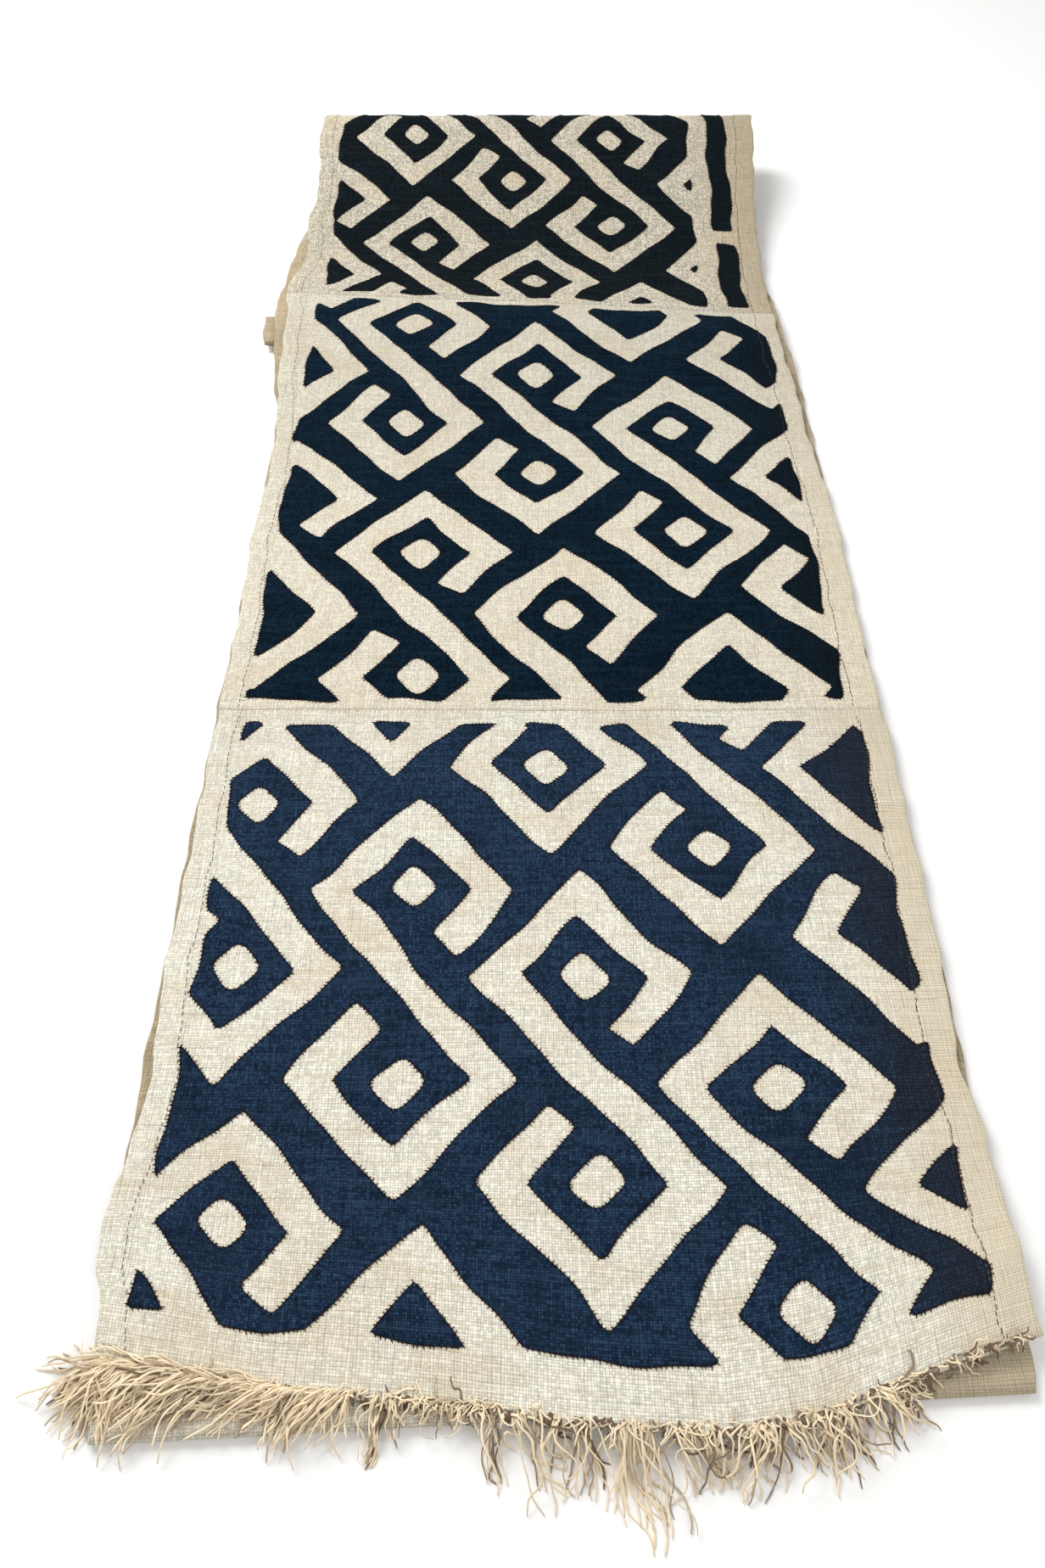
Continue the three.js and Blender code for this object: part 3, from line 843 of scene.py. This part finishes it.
def cloth_colour_group():
    """The colour of woven raffia: threads with painted shade in their hollows and painted light on their
    crowns, stains and streaks, a change to the right, and painted shade towards the far end.
    """
    tree, given, out = new_group(
        "Cloth colour",
        [
            ("Place", "NodeSocketVector", None),
            ("Height", "NodeSocketFloat", 0.5),
            ("Thread Tone", "NodeSocketFloat", 0.5),
            ("Crossing", "NodeSocketFloat", 0.0),
            ("Stain", "NodeSocketFloat", 0.0),
            ("Streak", "NodeSocketFloat", 0.0),
            ("Base", "NodeSocketColor", None),
            ("Stained", "NodeSocketColor", None),
            ("Streaked", "NodeSocketColor", None),
            ("Right Side", "NodeSocketColor", None),
            ("Right From", "NodeSocketFloat", 10.0),
            ("Hollow Shade", "NodeSocketFloat", 0.7),
            ("Crown", "NodeSocketFloat", 1.1),
            ("Flecks", "NodeSocketFloat", 0.0),
            ("Dull Threads", "NodeSocketFloat", 0.84),
            ("Bright Threads", "NodeSocketFloat", 1.11),
            ("Far From", "NodeSocketFloat", 10.0),
            ("Far Tone", "NodeSocketFloat", 1.0),
        ],
        [("Color", "NodeSocketColor", None)],
    )
    get = given.outputs

    def scaled(tone, amount):
        return node(
            tree, "ShaderNodeVectorMath", operation="SCALE", inputs={0: tone, "Scale": amount}
        ).outputs[0]

    dull, bright = scaled(get["Base"], get["Dull Threads"]), scaled(get["Base"], get["Bright Threads"])
    tone = blend(tree, get["Thread Tone"], dull, bright)
    tone = blend(tree, get["Stain"], tone, get["Stained"])
    tone = blend(tree, get["Streak"], tone, get["Streaked"])
    across, along_cloth, _ = node(tree, "ShaderNodeSeparateXYZ", inputs={0: get["Place"]}).outputs
    right_to = calc(tree, "ADD", get["Right From"], 0.1)
    tone = blend(tree, ramp(tree, across, get["Right From"], right_to, 0.0, 0.8), tone, get["Right Side"])
    # Painted shade: from Far From onwards the colour darkens towards the far end and the hump.
    far_to = calc(tree, "ADD", get["Far From"], 0.57)
    tone = scaled(tone, ramp(tree, along_cloth, get["Far From"], far_to, 1.0, get["Far Tone"]))
    # Painted shade in the hollows of the weave and painted light on its crowns, from the threads' height.
    shade = ramp(tree, get["Height"], 0.06, 0.8, get["Hollow Shade"], get["Crown"])
    specks = calc(tree, "MULTIPLY", get["Crossing"], ramp(tree, get["Thread Tone"], 0.6, 0.95))
    found = blend(tree, calc(tree, "MULTIPLY", specks, get["Flecks"]), scaled(tone, shade), FLECK_COLOUR)
    tree.links.new(found, out.inputs["Color"])
    return tree


def strand_group():
    """Loose raffia: each strand's own tone, with fine streaks, and painted shade on the low strands."""
    tree, given, out = new_group(
        "Raffia strand",
        [
            ("Place", "NodeSocketVector", None),
            ("Tone", "NodeSocketFloat", 0.5),
            ("Dark", "NodeSocketColor", None),
            ("Light", "NodeSocketColor", None),
            ("Painted Shade", "NodeSocketColor", None),
            ("Shading", "NodeSocketFloat", 0.0),
        ],
        [("Color", "NodeSocketColor", None), ("Streak", "NodeSocketFloat", None)],
    )
    tone = given.outputs["Tone"]
    streak = node(
        tree, "ShaderNodeTexNoise", inputs={"Vector": given.outputs["Place"], "Scale": 420.0, "Detail": 2.0}
    ).outputs[0]
    mixed = calc(tree, "MULTIPLY_ADD", streak, 0.35, calc(tree, "MULTIPLY", tone, 0.8))
    found = blend(tree, mixed, given.outputs["Dark"], given.outputs["Light"])
    # Painted shade: strands of low tone are mixed towards the shaded colour.
    low = calc(tree, "MULTIPLY", ramp(tree, tone, 0.08, 0.46, 1.0, 0.0), given.outputs["Shading"])
    tree.links.new(blend(tree, low, found, given.outputs["Painted Shade"]), out.inputs["Color"])
    tree.links.new(streak, out.inputs["Streak"])
    return tree


def shared_group(name, build):
    """A node group, built the first time it is asked for."""
    return bpy.data.node_groups.get(name) or build()


def new_material(name, roughness, **constants):
    """A material with its Principled shader: returns the material, its tree and the shader node."""
    material = bpy.data.materials.new(name)
    material.use_nodes = True
    tree = material.node_tree
    shader = tree.nodes["Principled BSDF"]
    shader.inputs["Roughness"].default_value = roughness
    for socket, value in constants.items():
        shader.inputs[socket.replace("_", " ")].default_value = value
    return material, tree, shader


def colour(value, scale=1.0):
    """Four channels from three."""
    return (*(channel * scale for channel in value), 1.0)


def woven_material(
    name, base, dark, pitch, wear, streak=None, hollow_shade=0.46, crown_light=1.02, flecks=0.0, sheen=0.12, bump=0.35,
    gloss=0.14, side_from=None, side=None, threads=(0.84, 1.11), far_from=None, painted_far_shade=1.0,
):
    """Plain-woven raffia: painted light on the thread crowns, painted shade in the hollows between them,
    stains and streaks of age, and painted shade towards the far end where far_from is given.
    """
    material, tree, shader = new_material(
        name, 0.88, Sheen_Weight=sheen, Sheen_Roughness=0.6, Specular_IOR_Level=gloss
    )
    place = node(tree, "ShaderNodeAttribute", attribute_name="plan").outputs["Vector"]
    weave = node(
        tree, "ShaderNodeGroup", node_tree=shared_group("Raffia weave", weave_group),
        inputs={"Place": place, "Pitch": pitch, "Unevenness": 0.6},
    )
    aged = node(
        tree, "ShaderNodeGroup", node_tree=shared_group("Cloth wear", wear_group),
        inputs={"Place": place, "Amount": wear},
    )
    found = node(
        tree, "ShaderNodeGroup", node_tree=shared_group("Cloth colour", cloth_colour_group),
        inputs={
            "Place": place, "Height": weave.outputs["Height"], "Thread Tone": weave.outputs["Thread Tone"],
            "Crossing": weave.outputs["Crossing"], "Stain": aged.outputs["Stain"],
            "Streak": aged.outputs["Streak"], "Base": colour(base), "Stained": colour(dark),
            "Streaked": colour(streak or dark), "Right Side": colour(side or base),
            "Right From": side_from or PAST_CLOTH, "Hollow Shade": hollow_shade, "Crown": crown_light, "Flecks": flecks,
            "Dull Threads": threads[0], "Bright Threads": threads[1], "Far From": far_from or PAST_CLOTH,
            "Far Tone": painted_far_shade,
        },
    )
    tree.links.new(found.outputs["Color"], shader.inputs["Base Color"])
    raised_threads = node(
        tree, "ShaderNodeBump",
        inputs={"Height": weave.outputs["Height"], "Strength": bump, "Distance": 0.0006},
    )
    tree.links.new(raised_threads.outputs[0], shader.inputs["Normal"])
    return material


def strand_material(name, base, spread, roughness=0.75, shaded=None, gloss=0.15):
    """Loose raffia: each strand has its own tone, with fine lengthwise streaks, and painted shade on the low
    strands when a shaded colour is given.
    """
    material, tree, shader = new_material(name, roughness, Specular_IOR_Level=gloss)
    tone = node(tree, "ShaderNodeAttribute", attribute_name="tone").outputs["Fac"]
    place = node(tree, "ShaderNodeTexCoord").outputs["Object"]
    strand = node(
        tree, "ShaderNodeGroup", node_tree=shared_group("Raffia strand", strand_group),
        inputs={
            "Place": place, "Tone": tone,
            "Dark": colour(base, 1 - spread), "Light": colour(base, 1 + spread),
            "Painted Shade": colour(shaded or base), "Shading": 1.0 if shaded else 0.0,
        },
    )
    tree.links.new(strand.outputs["Color"], shader.inputs["Base Color"])
    lifted = node(
        tree, "ShaderNodeBump",
        inputs={"Height": strand.outputs["Streak"], "Strength": 0.25, "Distance": 0.0003},
    )
    tree.links.new(lifted.outputs[0], shader.inputs["Normal"])
    return material


def floor_material(base):
    """A plain pale floor with a barely uneven finish."""
    material, tree, shader = new_material("Pale floor", 0.7)
    position = node(tree, "ShaderNodeTexCoord").outputs["Object"]
    cloud = node(
        tree, "ShaderNodeTexNoise", inputs={"Vector": position, "Scale": 3.0, "Detail": 2.0}
    ).outputs[0]
    tree.links.new(blend(tree, cloud, colour(base, 0.99), colour(base)), shader.inputs["Base Color"])
    return material


def face_outlines(index, sizes):
    """The patches of one face panel: the cut mesh in (x, s) and the closed lines round them."""
    _, begin, end = PANELS[index]
    rows = max(2, round((end - begin) / (sizes.grid / MM))) + 1
    s = np.linspace(begin, end, rows)
    x = columns(s, sizes.grid / MM, sizes)
    s = np.broadcast_to(s[:, None], x.shape)
    points, faces, edges = cut_patches(x, s, patch_distance(x, s, PATTERNS[index]))
    return points, faces, edges


class CLOTH_OT_stage(bpy.types.Operator):
    """Lay the pale floor and set up the lights and the camera"""

    bl_idname = "raffia_cloth.stage"
    bl_label = "Floor, lights and camera"

    def execute(self, context):
        studio = context.scene.raffia_studio
        size = 6.0
        corners = np.array([(-size, -size, 0), (size, -size, 0), (size, size, 0), (-size, size, 0)], float)
        floor = mesh_object(
            "floor", corners, [(0, 1, 2, 3)], [floor_material(context.scene.raffia_colours.floor)]
        )
        world = bpy.data.worlds.new("Room light")
        world.use_nodes = True
        world.node_tree.nodes["Background"].inputs[0].default_value = (1.0, 0.99, 0.97, 1.0)
        world.node_tree.nodes["Background"].inputs[1].default_value = studio.sky
        context.scene.world = world
        for name, place, wide, power in (
            ("main_light", (-1.5, 1.3, 2.1), 1.6, studio.key),
            ("fill_light", (1.6, -1.4, 1.9), 2.0, studio.fill),
        ):
            data = bpy.data.lights.new(name, "AREA")
            data.shape = "SQUARE"
            data.size = wide
            data.energy = power
            light = bpy.data.objects.new(name, data)
            light.location = place
            aim = -light.location
            light.rotation_euler = aim.to_track_quat("-Z", "Y").to_euler()
            context.scene.collection.objects.link(light)
        camera_data = bpy.data.cameras.new("camera")
        camera_data.lens = studio.lens
        camera_data.sensor_width = 36.0
        camera_data.clip_start = 0.01
        camera = bpy.data.objects.new("camera", camera_data)
        camera.location = (-studio.eye_left, -studio.eye_back, studio.eye_height)
        camera.rotation_euler = (math.pi / 2 - studio.pitch, 0, 0)
        context.scene.collection.objects.link(camera)
        context.scene.camera = camera
        context.scene.view_settings.view_transform = "Standard"
        return {"FINISHED"}


class CLOTH_OT_panels(bpy.types.Operator):
    """Weave the seven panels along the folds of the cloth"""

    bl_idname = "raffia_cloth.panels"
    bl_label = "Woven panels"

    def execute(self, context):
        sizes, colours = context.scene.raffia_sizes, context.scene.raffia_colours
        pitch = sizes.thread_pitch
        front = tuple(a * b for a, b in zip(colours.natural, (1.015, 1.04, 1.08)))
        middle = tuple(0.90 * a for a in colours.natural)
        # The far panel's colour: aged tone, darkened further as painted shade for the light falling off at
        # the far end.
        far = tuple(0.59 * a + 0.08 * b for a, b in zip(colours.natural, colours.aged))
        tan = tuple(0.645 * c for c in colours.aged)
        edge = tuple(0.38 * a + 0.60 * b for a, b in zip(colours.natural, colours.aged))
        # Aged tan, darkened as painted shade where the front fold lies under the lifted corner of the top
        # layer.
        painted_corner_shade = tuple(0.75 * c for c in colours.aged)
        cloths = [
            woven_material(
                "Natural raffia, front", front, colours.aged, pitch, 0.5, side_from=0.21, side=edge,
                far_from=0.3, painted_far_shade=0.82,
            ),
            woven_material(
                "Natural raffia, middle", middle, colours.aged, pitch, 0.38, side_from=0.25, side=edge,
                far_from=0.7, painted_far_shade=0.81,
            ),
            woven_material(
                "Natural raffia, far", far, colours.aged, pitch, 0.4, hollow_shade=0.36, side_from=0.2, side=tan,
                threads=(0.66, 1.27),
            ),
            woven_material("Natural raffia, below", tan, colours.aged, pitch, 0.5),
            woven_material(
                "Natural raffia, front fold", colours.natural, colours.aged, pitch, 0.3, side_from=0.14,
                side=painted_corner_shade,
            ),
        ]
        for index, (name, begin, end) in enumerate(PANELS):
            grid = (sizes.grid if index < FACE_PANELS else sizes.hidden_grid) / MM
            points, faces, plan = sheet_mesh(begin, end or CLOTH_END, grid, sizes)
            material = cloths[4 if name == "panel_6_front_fold" else min(index, 3)]
            piece = mesh_object("woven_" + name, points, faces, [material], plan=plan)
            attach(piece, "root")
            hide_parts(name)
        return {"FINISHED"}


class CLOTH_OT_patches(bpy.types.Operator):
    """Lay the dark patches on the three face panels"""

    bl_idname = "raffia_cloth.patches"
    bl_label = "Dark patches"

    def execute(self, context):
        sizes, colours = context.scene.raffia_sizes, context.scene.raffia_colours
        dyes = (colours.indigo, colours.indigo_middle, colours.indigo_far)
        faded = (colours.faded, colours.indigo_far, colours.indigo_far)
        for index, dye in enumerate(dyes):
            points, faces, edges = face_outlines(index, sizes)
            x, s = points[:, 0], points[:, 1]
            ground = upper_face(x, s, sizes)
            top = ground + sizes.patch_rise / MM
            count = len(points)
            turned = sorted({a for edge in edges for a in edge})
            below = {a: count + n for n, a in enumerate(turned)}
            places = np.vstack([
                cloth_points(s, x, top), cloth_points(s[turned], x[turned], ground[turned] - 0.05)
            ])
            walls = [[b, a, below[a], below[b]] for a, b in edges]
            plan = np.stack([x, s, np.full(count, 3000.0 + index * 1000)], 1) * MM
            plan = np.vstack([plan, plan[turned]])
            material = woven_material(
                "Dyed raffia, panel %d" % (index + 1), dye, tuple(0.55 * c for c in dye), sizes.thread_pitch,
                0.75, streak=tuple(1.5 * c + 0.006 for c in dye), hollow_shade=0.26, crown_light=1.17,
                flecks=(0.16, 0.05, 0.05)[index], sheen=0.0, bump=0.5, gloss=0.04, side_from=0.19,
                side=faded[index], threads=(0.55, 1.5),
            )
            name = "patches_panel_%d" % (index + 1)
            piece = mesh_object(name, places, faces + walls, [material], plan=plan)
            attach(piece, "root")
        return {"FINISHED"}


class CLOTH_OT_overcast(bpy.types.Operator):
    """Overcast the edge of every patch with brown thread"""

    bl_idname = "raffia_cloth.overcast"
    bl_label = "Overcast outlines"

    def execute(self, context):
        sizes, colours = context.scene.raffia_sizes, context.scene.raffia_colours
        random = np.random.default_rng(11)
        thread = strand_material("Outline thread", colours.thread, 0.45, 0.85)
        for index in range(FACE_PANELS):
            points, _, edges = face_outlines(index, sizes)
            cords, ticks = [], []
            for chain in chains(edges):
                line = points[chain][:, :2]
                at, way = spaced(line, 3.6)
                cords += [(a, b) for a, b in zip(at[:-1], at[1:])]
                ticks.append(spaced(line, sizes.stitch_pitch / MM))
            ends = np.array(cords)
            path = np.stack([ends[:, 0], ends.mean(1), ends[:, 1]], 1)
            rise = (upper_face(path[..., 0], path[..., 1], sizes) + sizes.patch_rise / MM * 0.8)
            cord_paths = cloth_points(path[..., 1], path[..., 0], rise)
            cord_radii = np.full(path.shape[:2], 0.48 * MM) * random.uniform(0.8, 1.2, (len(path), 1))
            at = np.vstack([a for a, _ in ticks])
            way = np.vstack([w for _, w in ticks])
            count = len(at)
            at = at + way * random.normal(0, 0.5, (count, 1))
            out = np.stack([way[:, 1], -way[:, 0]], 1)
            lean = way * random.normal(0.5, 0.45, (count, 1))
            reach = random.uniform(0.9, 2.6, (count, 1))
            inner, outer = at - out * random.uniform(0.9, 1.9, (count, 1)), at + out * reach + lean
            path = np.stack([inner, at, outer], 1)
            rise = upper_face(path[..., 0], path[..., 1], sizes)
            rise = rise + np.array([sizes.patch_rise / MM, sizes.patch_rise / MM + 0.45, 0.05])
            tick_paths = cloth_points(path[..., 1], path[..., 0], rise)
            tick_radii = np.tile(np.array([0.32, 0.5, 0.3]) * MM, (count, 1))
            cord_points, cord_faces = tubes(cord_paths, cord_radii, 3)
            tick_points, tick_faces = tubes(tick_paths, tick_radii, 3)
            start = len(cord_points)
            faces = cord_faces + [[i + start for i in face] for face in tick_faces]
            tone = np.concatenate([
                np.repeat(random.uniform(0, 1, len(cord_paths)), 9),
                np.repeat(random.uniform(0, 0.6, count), 9),
            ])
            name = "overcast_panel_%d" % (index + 1)
            piece = mesh_object(name, np.vstack([cord_points, tick_points]), faces, [thread], tone=tone)
            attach(piece, "root")
        return {"FINISHED"}


def running_stitches(s, x, dash, radius, sizes, sink=0.15):
    """Short stitches that rise from the cloth and dip back, centred at s and x."""
    share = np.linspace(-0.5, 0.5, 5)
    path_s = s[:, None] + share * dash[:, None]
    path_x = np.broadcast_to(x[:, None], path_s.shape)
    rise = upper_face(path_x, path_s, sizes) + np.array([-sink, 0.22, 0.3, 0.22, -sink])
    return cloth_points(path_s, path_x, rise), np.full(path_s.shape, radius * MM)


class CLOTH_OT_hem_stitches(bpy.types.Operator):
    """Run a stitch along both hems and whip the panels together at their seams"""

    bl_idname = "raffia_cloth.hem_stitches"
    bl_label = "Hem and seam stitches"

    def execute(self, context):
        sizes, colours = context.scene.raffia_sizes, context.scene.raffia_colours
        random = np.random.default_rng(23)
        hem = strand_material("Hem thread", colours.hem_thread, 0.4)
        seam = strand_material("Seam thread", colours.natural, 0.2)
        for index, (_, begin, end) in enumerate(PANELS[:FACE_PANELS]):
            paths, radii = [], []
            for edge, inset in ((left_edge, sizes.hem_left), (right_edge, -sizes.hem_right)):
                s = np.arange(begin + 6, min(end, FAR_TIP + 80) - 6, 6.3 if inset > 0 else 5.2)
                s = s + random.normal(0, 0.5, len(s))
                x = edge(s) + inset / MM + random.normal(0, 0.25, len(s)) + (-1.2 if inset > 0 else 1.2)
                radius = 0.24 if inset > 0 else 0.34
                made = running_stitches(s, x, random.uniform(3.6, 5.0, len(s)), radius, sizes)
                paths.append(made[0])
                radii.append(made[1])
            points, faces = tubes(np.vstack(paths), np.vstack(radii), 4)
            tone = np.repeat(random.uniform(0, 1, len(points) // 20), 20)
            piece = mesh_object("hem_stitches_panel_%d" % (index + 1), points, faces, [hem], tone=tone)
            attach(piece, "root")
        for index, (_, _, end) in enumerate(PANELS[: FACE_PANELS - 1]):
            x = np.arange(left_edge(end) + 4, right_edge(end) - 4, 4.2)
            x = x + random.normal(0, 0.4, len(x))
            s = np.full(len(x), float(end)) + random.normal(0, 0.3, len(x))
            paths, radii = running_stitches(s, x, random.uniform(4.5, 6.5, len(x)), 0.3, sizes)
            points, faces = tubes(paths, radii, 4)
            tone = np.repeat(random.uniform(0, 1, len(paths)), 20)
            piece = mesh_object("seam_stitches_%d" % (index + 1), points, faces, [seam], tone=tone)
            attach(piece, "root")
        return {"FINISHED"}


FRINGE_STEPS = 15
FRINGE_SIDES = 4


def ground_height(x, y):
    """Height in mm of what a strand lies on: the cloth itself, the layers below it, or the floor."""
    own_edge = np.interp(x, FRONT_EDGE[:, 0], FRONT_EDGE[:, 1])
    fold_tip = 1.5 + FOLD_SKEW * x
    on_cloth = np.where((y > own_edge) & (np.abs(x - 5) < 309), 9.8 + raised(x, y) + 1.0, 0)
    on_fold = np.where((y > fold_tip) & (x > -301) & (x < 306), 7.0, 0)
    return np.maximum(on_cloth, on_fold)


def edge_points(random, x):
    """Roots in mm along the frayed edge, under it where the edge is turned under."""
    s = random.uniform(0.5, 6.0, len(x))
    above = np.where(x > TURNED_UNDER_FROM, -HALF - 0.3, HALF + 0.1)
    return cloth_points(s, x, above) / MM + np.array([ORIGIN_X, ORIGIN_Y, 0])


def grow(random, roots, heading, length, curl, climb, stack, bend=1.0):
    """Paths in mm of raffia ends that leave the weave, sag past the layers and lie down."""
    count = len(roots)
    phase = random.uniform(0, 2 * math.pi, count)
    wave = random.normal(0, 0.45, count) * bend
    kink = random.normal(0, 0.18, count) * bend
    stride = length / (FRINGE_STEPS - 1)
    place = roots.copy()
    path = [place]
    for k in range(1, FRINGE_STEPS):
        t = k / (FRINGE_STEPS - 1)
        angle = heading + curl * t + wave * np.sin(phase + 7 * t) + kink * np.sin(2 * phase + 17 * t)
        slope = climb - 1.9 * t * (1 + 0.5 * np.sin(phase))
        level = stride / np.sqrt(1 + slope**2)
        x = place[:, 0] + np.sin(angle) * level
        y = place[:, 1] - np.cos(angle) * level
        floor = ground_height(x, y) + 0.5 + stack * (1 - 0.6 * t)
        z = np.maximum(floor, place[:, 2] + slope * level)
        z = np.minimum(z, place[:, 2] + 0.8 * stride)
        place = np.stack([x, y, z], 1)
        path.append(place)
    return np.stack(path, 1)


def fringe_paths(random, stray_count):
    """The loose warp ends, tuft by tuft, then the strays: their paths in mm, each one's tone, darkened as
    painted shade for the low and tucked-under ones, and width.
    """
    at, wide, lean, fan, usual, number, gather = np.repeat(TUFTS, TUFTS[:, 5].astype(int), axis=0).T
    count = len(at)
    tuft = np.repeat(np.arange(len(TUFTS)), TUFTS[:, 5].astype(int))
    own_x = np.clip(at + wide * random.uniform(-0.5, 0.5, count), -303, 312)
    matted = at < MATTED_TO
    heading = lean + fan * random.normal(0, 1, count)
    heading = np.radians(np.where(matted & (heading < MAT_TURN), 2 * MAT_TURN - heading, heading))
    length = usual * np.clip(random.normal(1, 0.2, count), 0.5, 1.35)
    stack = np.abs(random.normal(0, 1, count)) * np.where(matted, 3.4, 1.4)
    curl = random.normal(0, 1, count) * np.where(matted, 0.4, 0.75)
    climb = np.where(own_x > TURNED_UNDER_FROM, -0.3, random.uniform(-0.1, 0.5, count))
    bend = np.where(matted, 0.6, 1.25)
    own = grow(random, edge_points(random, own_x), heading, length, curl, climb, stack, bend)
    middle = grow(
        random, edge_points(random, TUFTS[:, 0]), np.radians(TUFTS[:, 2]), TUFTS[:, 4],
        random.normal(0, 0.25, len(TUFTS)), np.full(len(TUFTS), 0.1), np.ones(len(TUFTS)),
    )
    pull = gather[:, None, None] * np.linspace(0, 1, FRINGE_STEPS)[None, :, None]
    own = own * (1 - pull) + middle[tuft] * pull
    stray_x = random.uniform(-300, 225, stray_count)
    under = random.uniform(0, 1, stray_count) < 0.6
    swept = np.where(under, random.normal(-0.2, 0.5, stray_count), random.normal(-0.4, 1.3, stray_count))
    reach = np.where(under, random.uniform(7, 17, stray_count), random.gamma(3, 6.0, stray_count))
    reach = np.where(np.abs(swept) > STRAY_TURNED_BACK, np.minimum(reach, STRAY_SHORT), reach)
    alone = grow(
        random, edge_points(random, stray_x), swept, reach, random.normal(0, 1.5, stray_count),
        np.where(under, -0.6, random.uniform(0.0, 0.8, stray_count)),
        np.where(under, 0.0, np.abs(random.normal(0, 2.0, stray_count))),
    )
    paths = np.concatenate([own, alone])
    ground = ground_height(paths[..., 0], paths[..., 1]) + 0.35
    paths[:, 1:, 2] = np.maximum(paths[:, 1:, 2], ground[:, 1:])
    # Painted shade: the ends under the turned-under edge, the short strays under the edge and the strands
    # lying lowest get a darker tone.
    low = np.where(np.concatenate([own_x, stray_x]) > TURNED_UNDER_FROM, 0.2, 0)
    low[count:] += np.where(under, 0.8, 0)
    depth = np.concatenate([stack, np.full(stray_count, 4.0)])
    tone = random.uniform(0, 1, len(paths)) * 0.72 + 0.28 * np.clip(depth / 3, 0, 1) - low
    width = np.concatenate([np.where(matted, 1.0, 0.95), np.full(stray_count, 0.8)])
    return paths, np.clip(tone, 0, 1), width


class CLOTH_OT_fringe(bpy.types.Operator):
    """Fray the front edge into loose, tangled warp ends"""

    bl_idname = "raffia_cloth.fringe"
    bl_label = "Frayed edge"

    def execute(self, context):
        sizes, colours = context.scene.raffia_sizes, context.scene.raffia_colours
        random = np.random.default_rng(5)
        paths, tones, widths = fringe_paths(random, sizes.strays)
        paths = (paths - np.array([ORIGIN_X, ORIGIN_Y, 0])) * MM
        count = len(paths)
        taper = np.linspace(1, 0.75, FRINGE_STEPS) * (1 + 0.15 * np.sin(np.arange(FRINGE_STEPS) * 1.9))
        radii = (random.uniform(0.65, 1.2, count) * widths)[:, None] * taper * MM
        radii[:, -1] *= 0.5
        points, faces = tubes(paths, radii, FRINGE_SIDES, flat=0.35)
        tone = np.repeat(tones, FRINGE_STEPS * FRINGE_SIDES)
        material = strand_material(
            "Frayed raffia", colours.frayed, 0.36, shaded=colours.shaded, gloss=0.3
        )
        piece = mesh_object("frayed_ends", points, faces, [material], tone=tone)
        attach(piece, "root")
        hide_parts("fringe")
        return {"FINISHED"}


class CLOTH_OT_declare(bpy.types.Operator):
    """Gather what is sewn on each panel; the lists are not used."""

    bl_idname = "raffia_cloth.declare"
    bl_label = "Flat sizes"

    def execute(self, context):
        for index, (name, begin, end) in enumerate(PANELS):
            number = index + 1
            sewn_on = [
                o for o in bpy.data.objects
                if o.name.endswith("panel_%d" % number) and not o.name.startswith("woven")
            ]
            if index == 0:
                sewn_on.append(bpy.data.objects["frayed_ends"])
            if index < FACE_PANELS - 1:
                sewn_on.append(bpy.data.objects["seam_stitches_%d" % number])
        return {"FINISHED"}


OPERATORS = [
    CLOTH_OT_stage, CLOTH_OT_panels, CLOTH_OT_patches, CLOTH_OT_overcast, CLOTH_OT_hem_stitches,
    CLOTH_OT_fringe, CLOTH_OT_declare,
]
GROUPS = [ClothSizes, ClothColours, StudioSettings]


class CLOTH_PT_panel(bpy.types.Panel):
    """The cloth's settings and its operators"""

    bl_idname = "CLOTH_PT_panel"
    bl_label = "Raffia cloth"
    bl_space_type = "VIEW_3D"
    bl_region_type = "UI"
    bl_category = "Raffia cloth"

    def draw(self, context):
        for group in (
            context.scene.raffia_sizes, context.scene.raffia_colours, context.scene.raffia_studio
        ):
            for name in group.__annotations__:
                self.layout.prop(group, name)
        for operator in OPERATORS:
            self.layout.operator(operator.bl_idname)


CLASSES = [*GROUPS, *OPERATORS, CLOTH_PT_panel]


def register():
    for cls in CLASSES:
        bpy.utils.register_class(cls)
    bpy.types.Scene.raffia_sizes = bpy.props.PointerProperty(type=ClothSizes)
    bpy.types.Scene.raffia_colours = bpy.props.PointerProperty(type=ClothColours)
    bpy.types.Scene.raffia_studio = bpy.props.PointerProperty(type=StudioSettings)


def unregister():
    for name in ("raffia_sizes", "raffia_colours", "raffia_studio"):
        delattr(bpy.types.Scene, name)
    for cls in reversed(CLASSES):
        bpy.utils.unregister_class(cls)


def main():
    register()
    for operator in OPERATORS:
        group, name = operator.bl_idname.split(".")
        getattr(getattr(bpy.ops, group), name)()


if __name__ == "__main__":
    main()
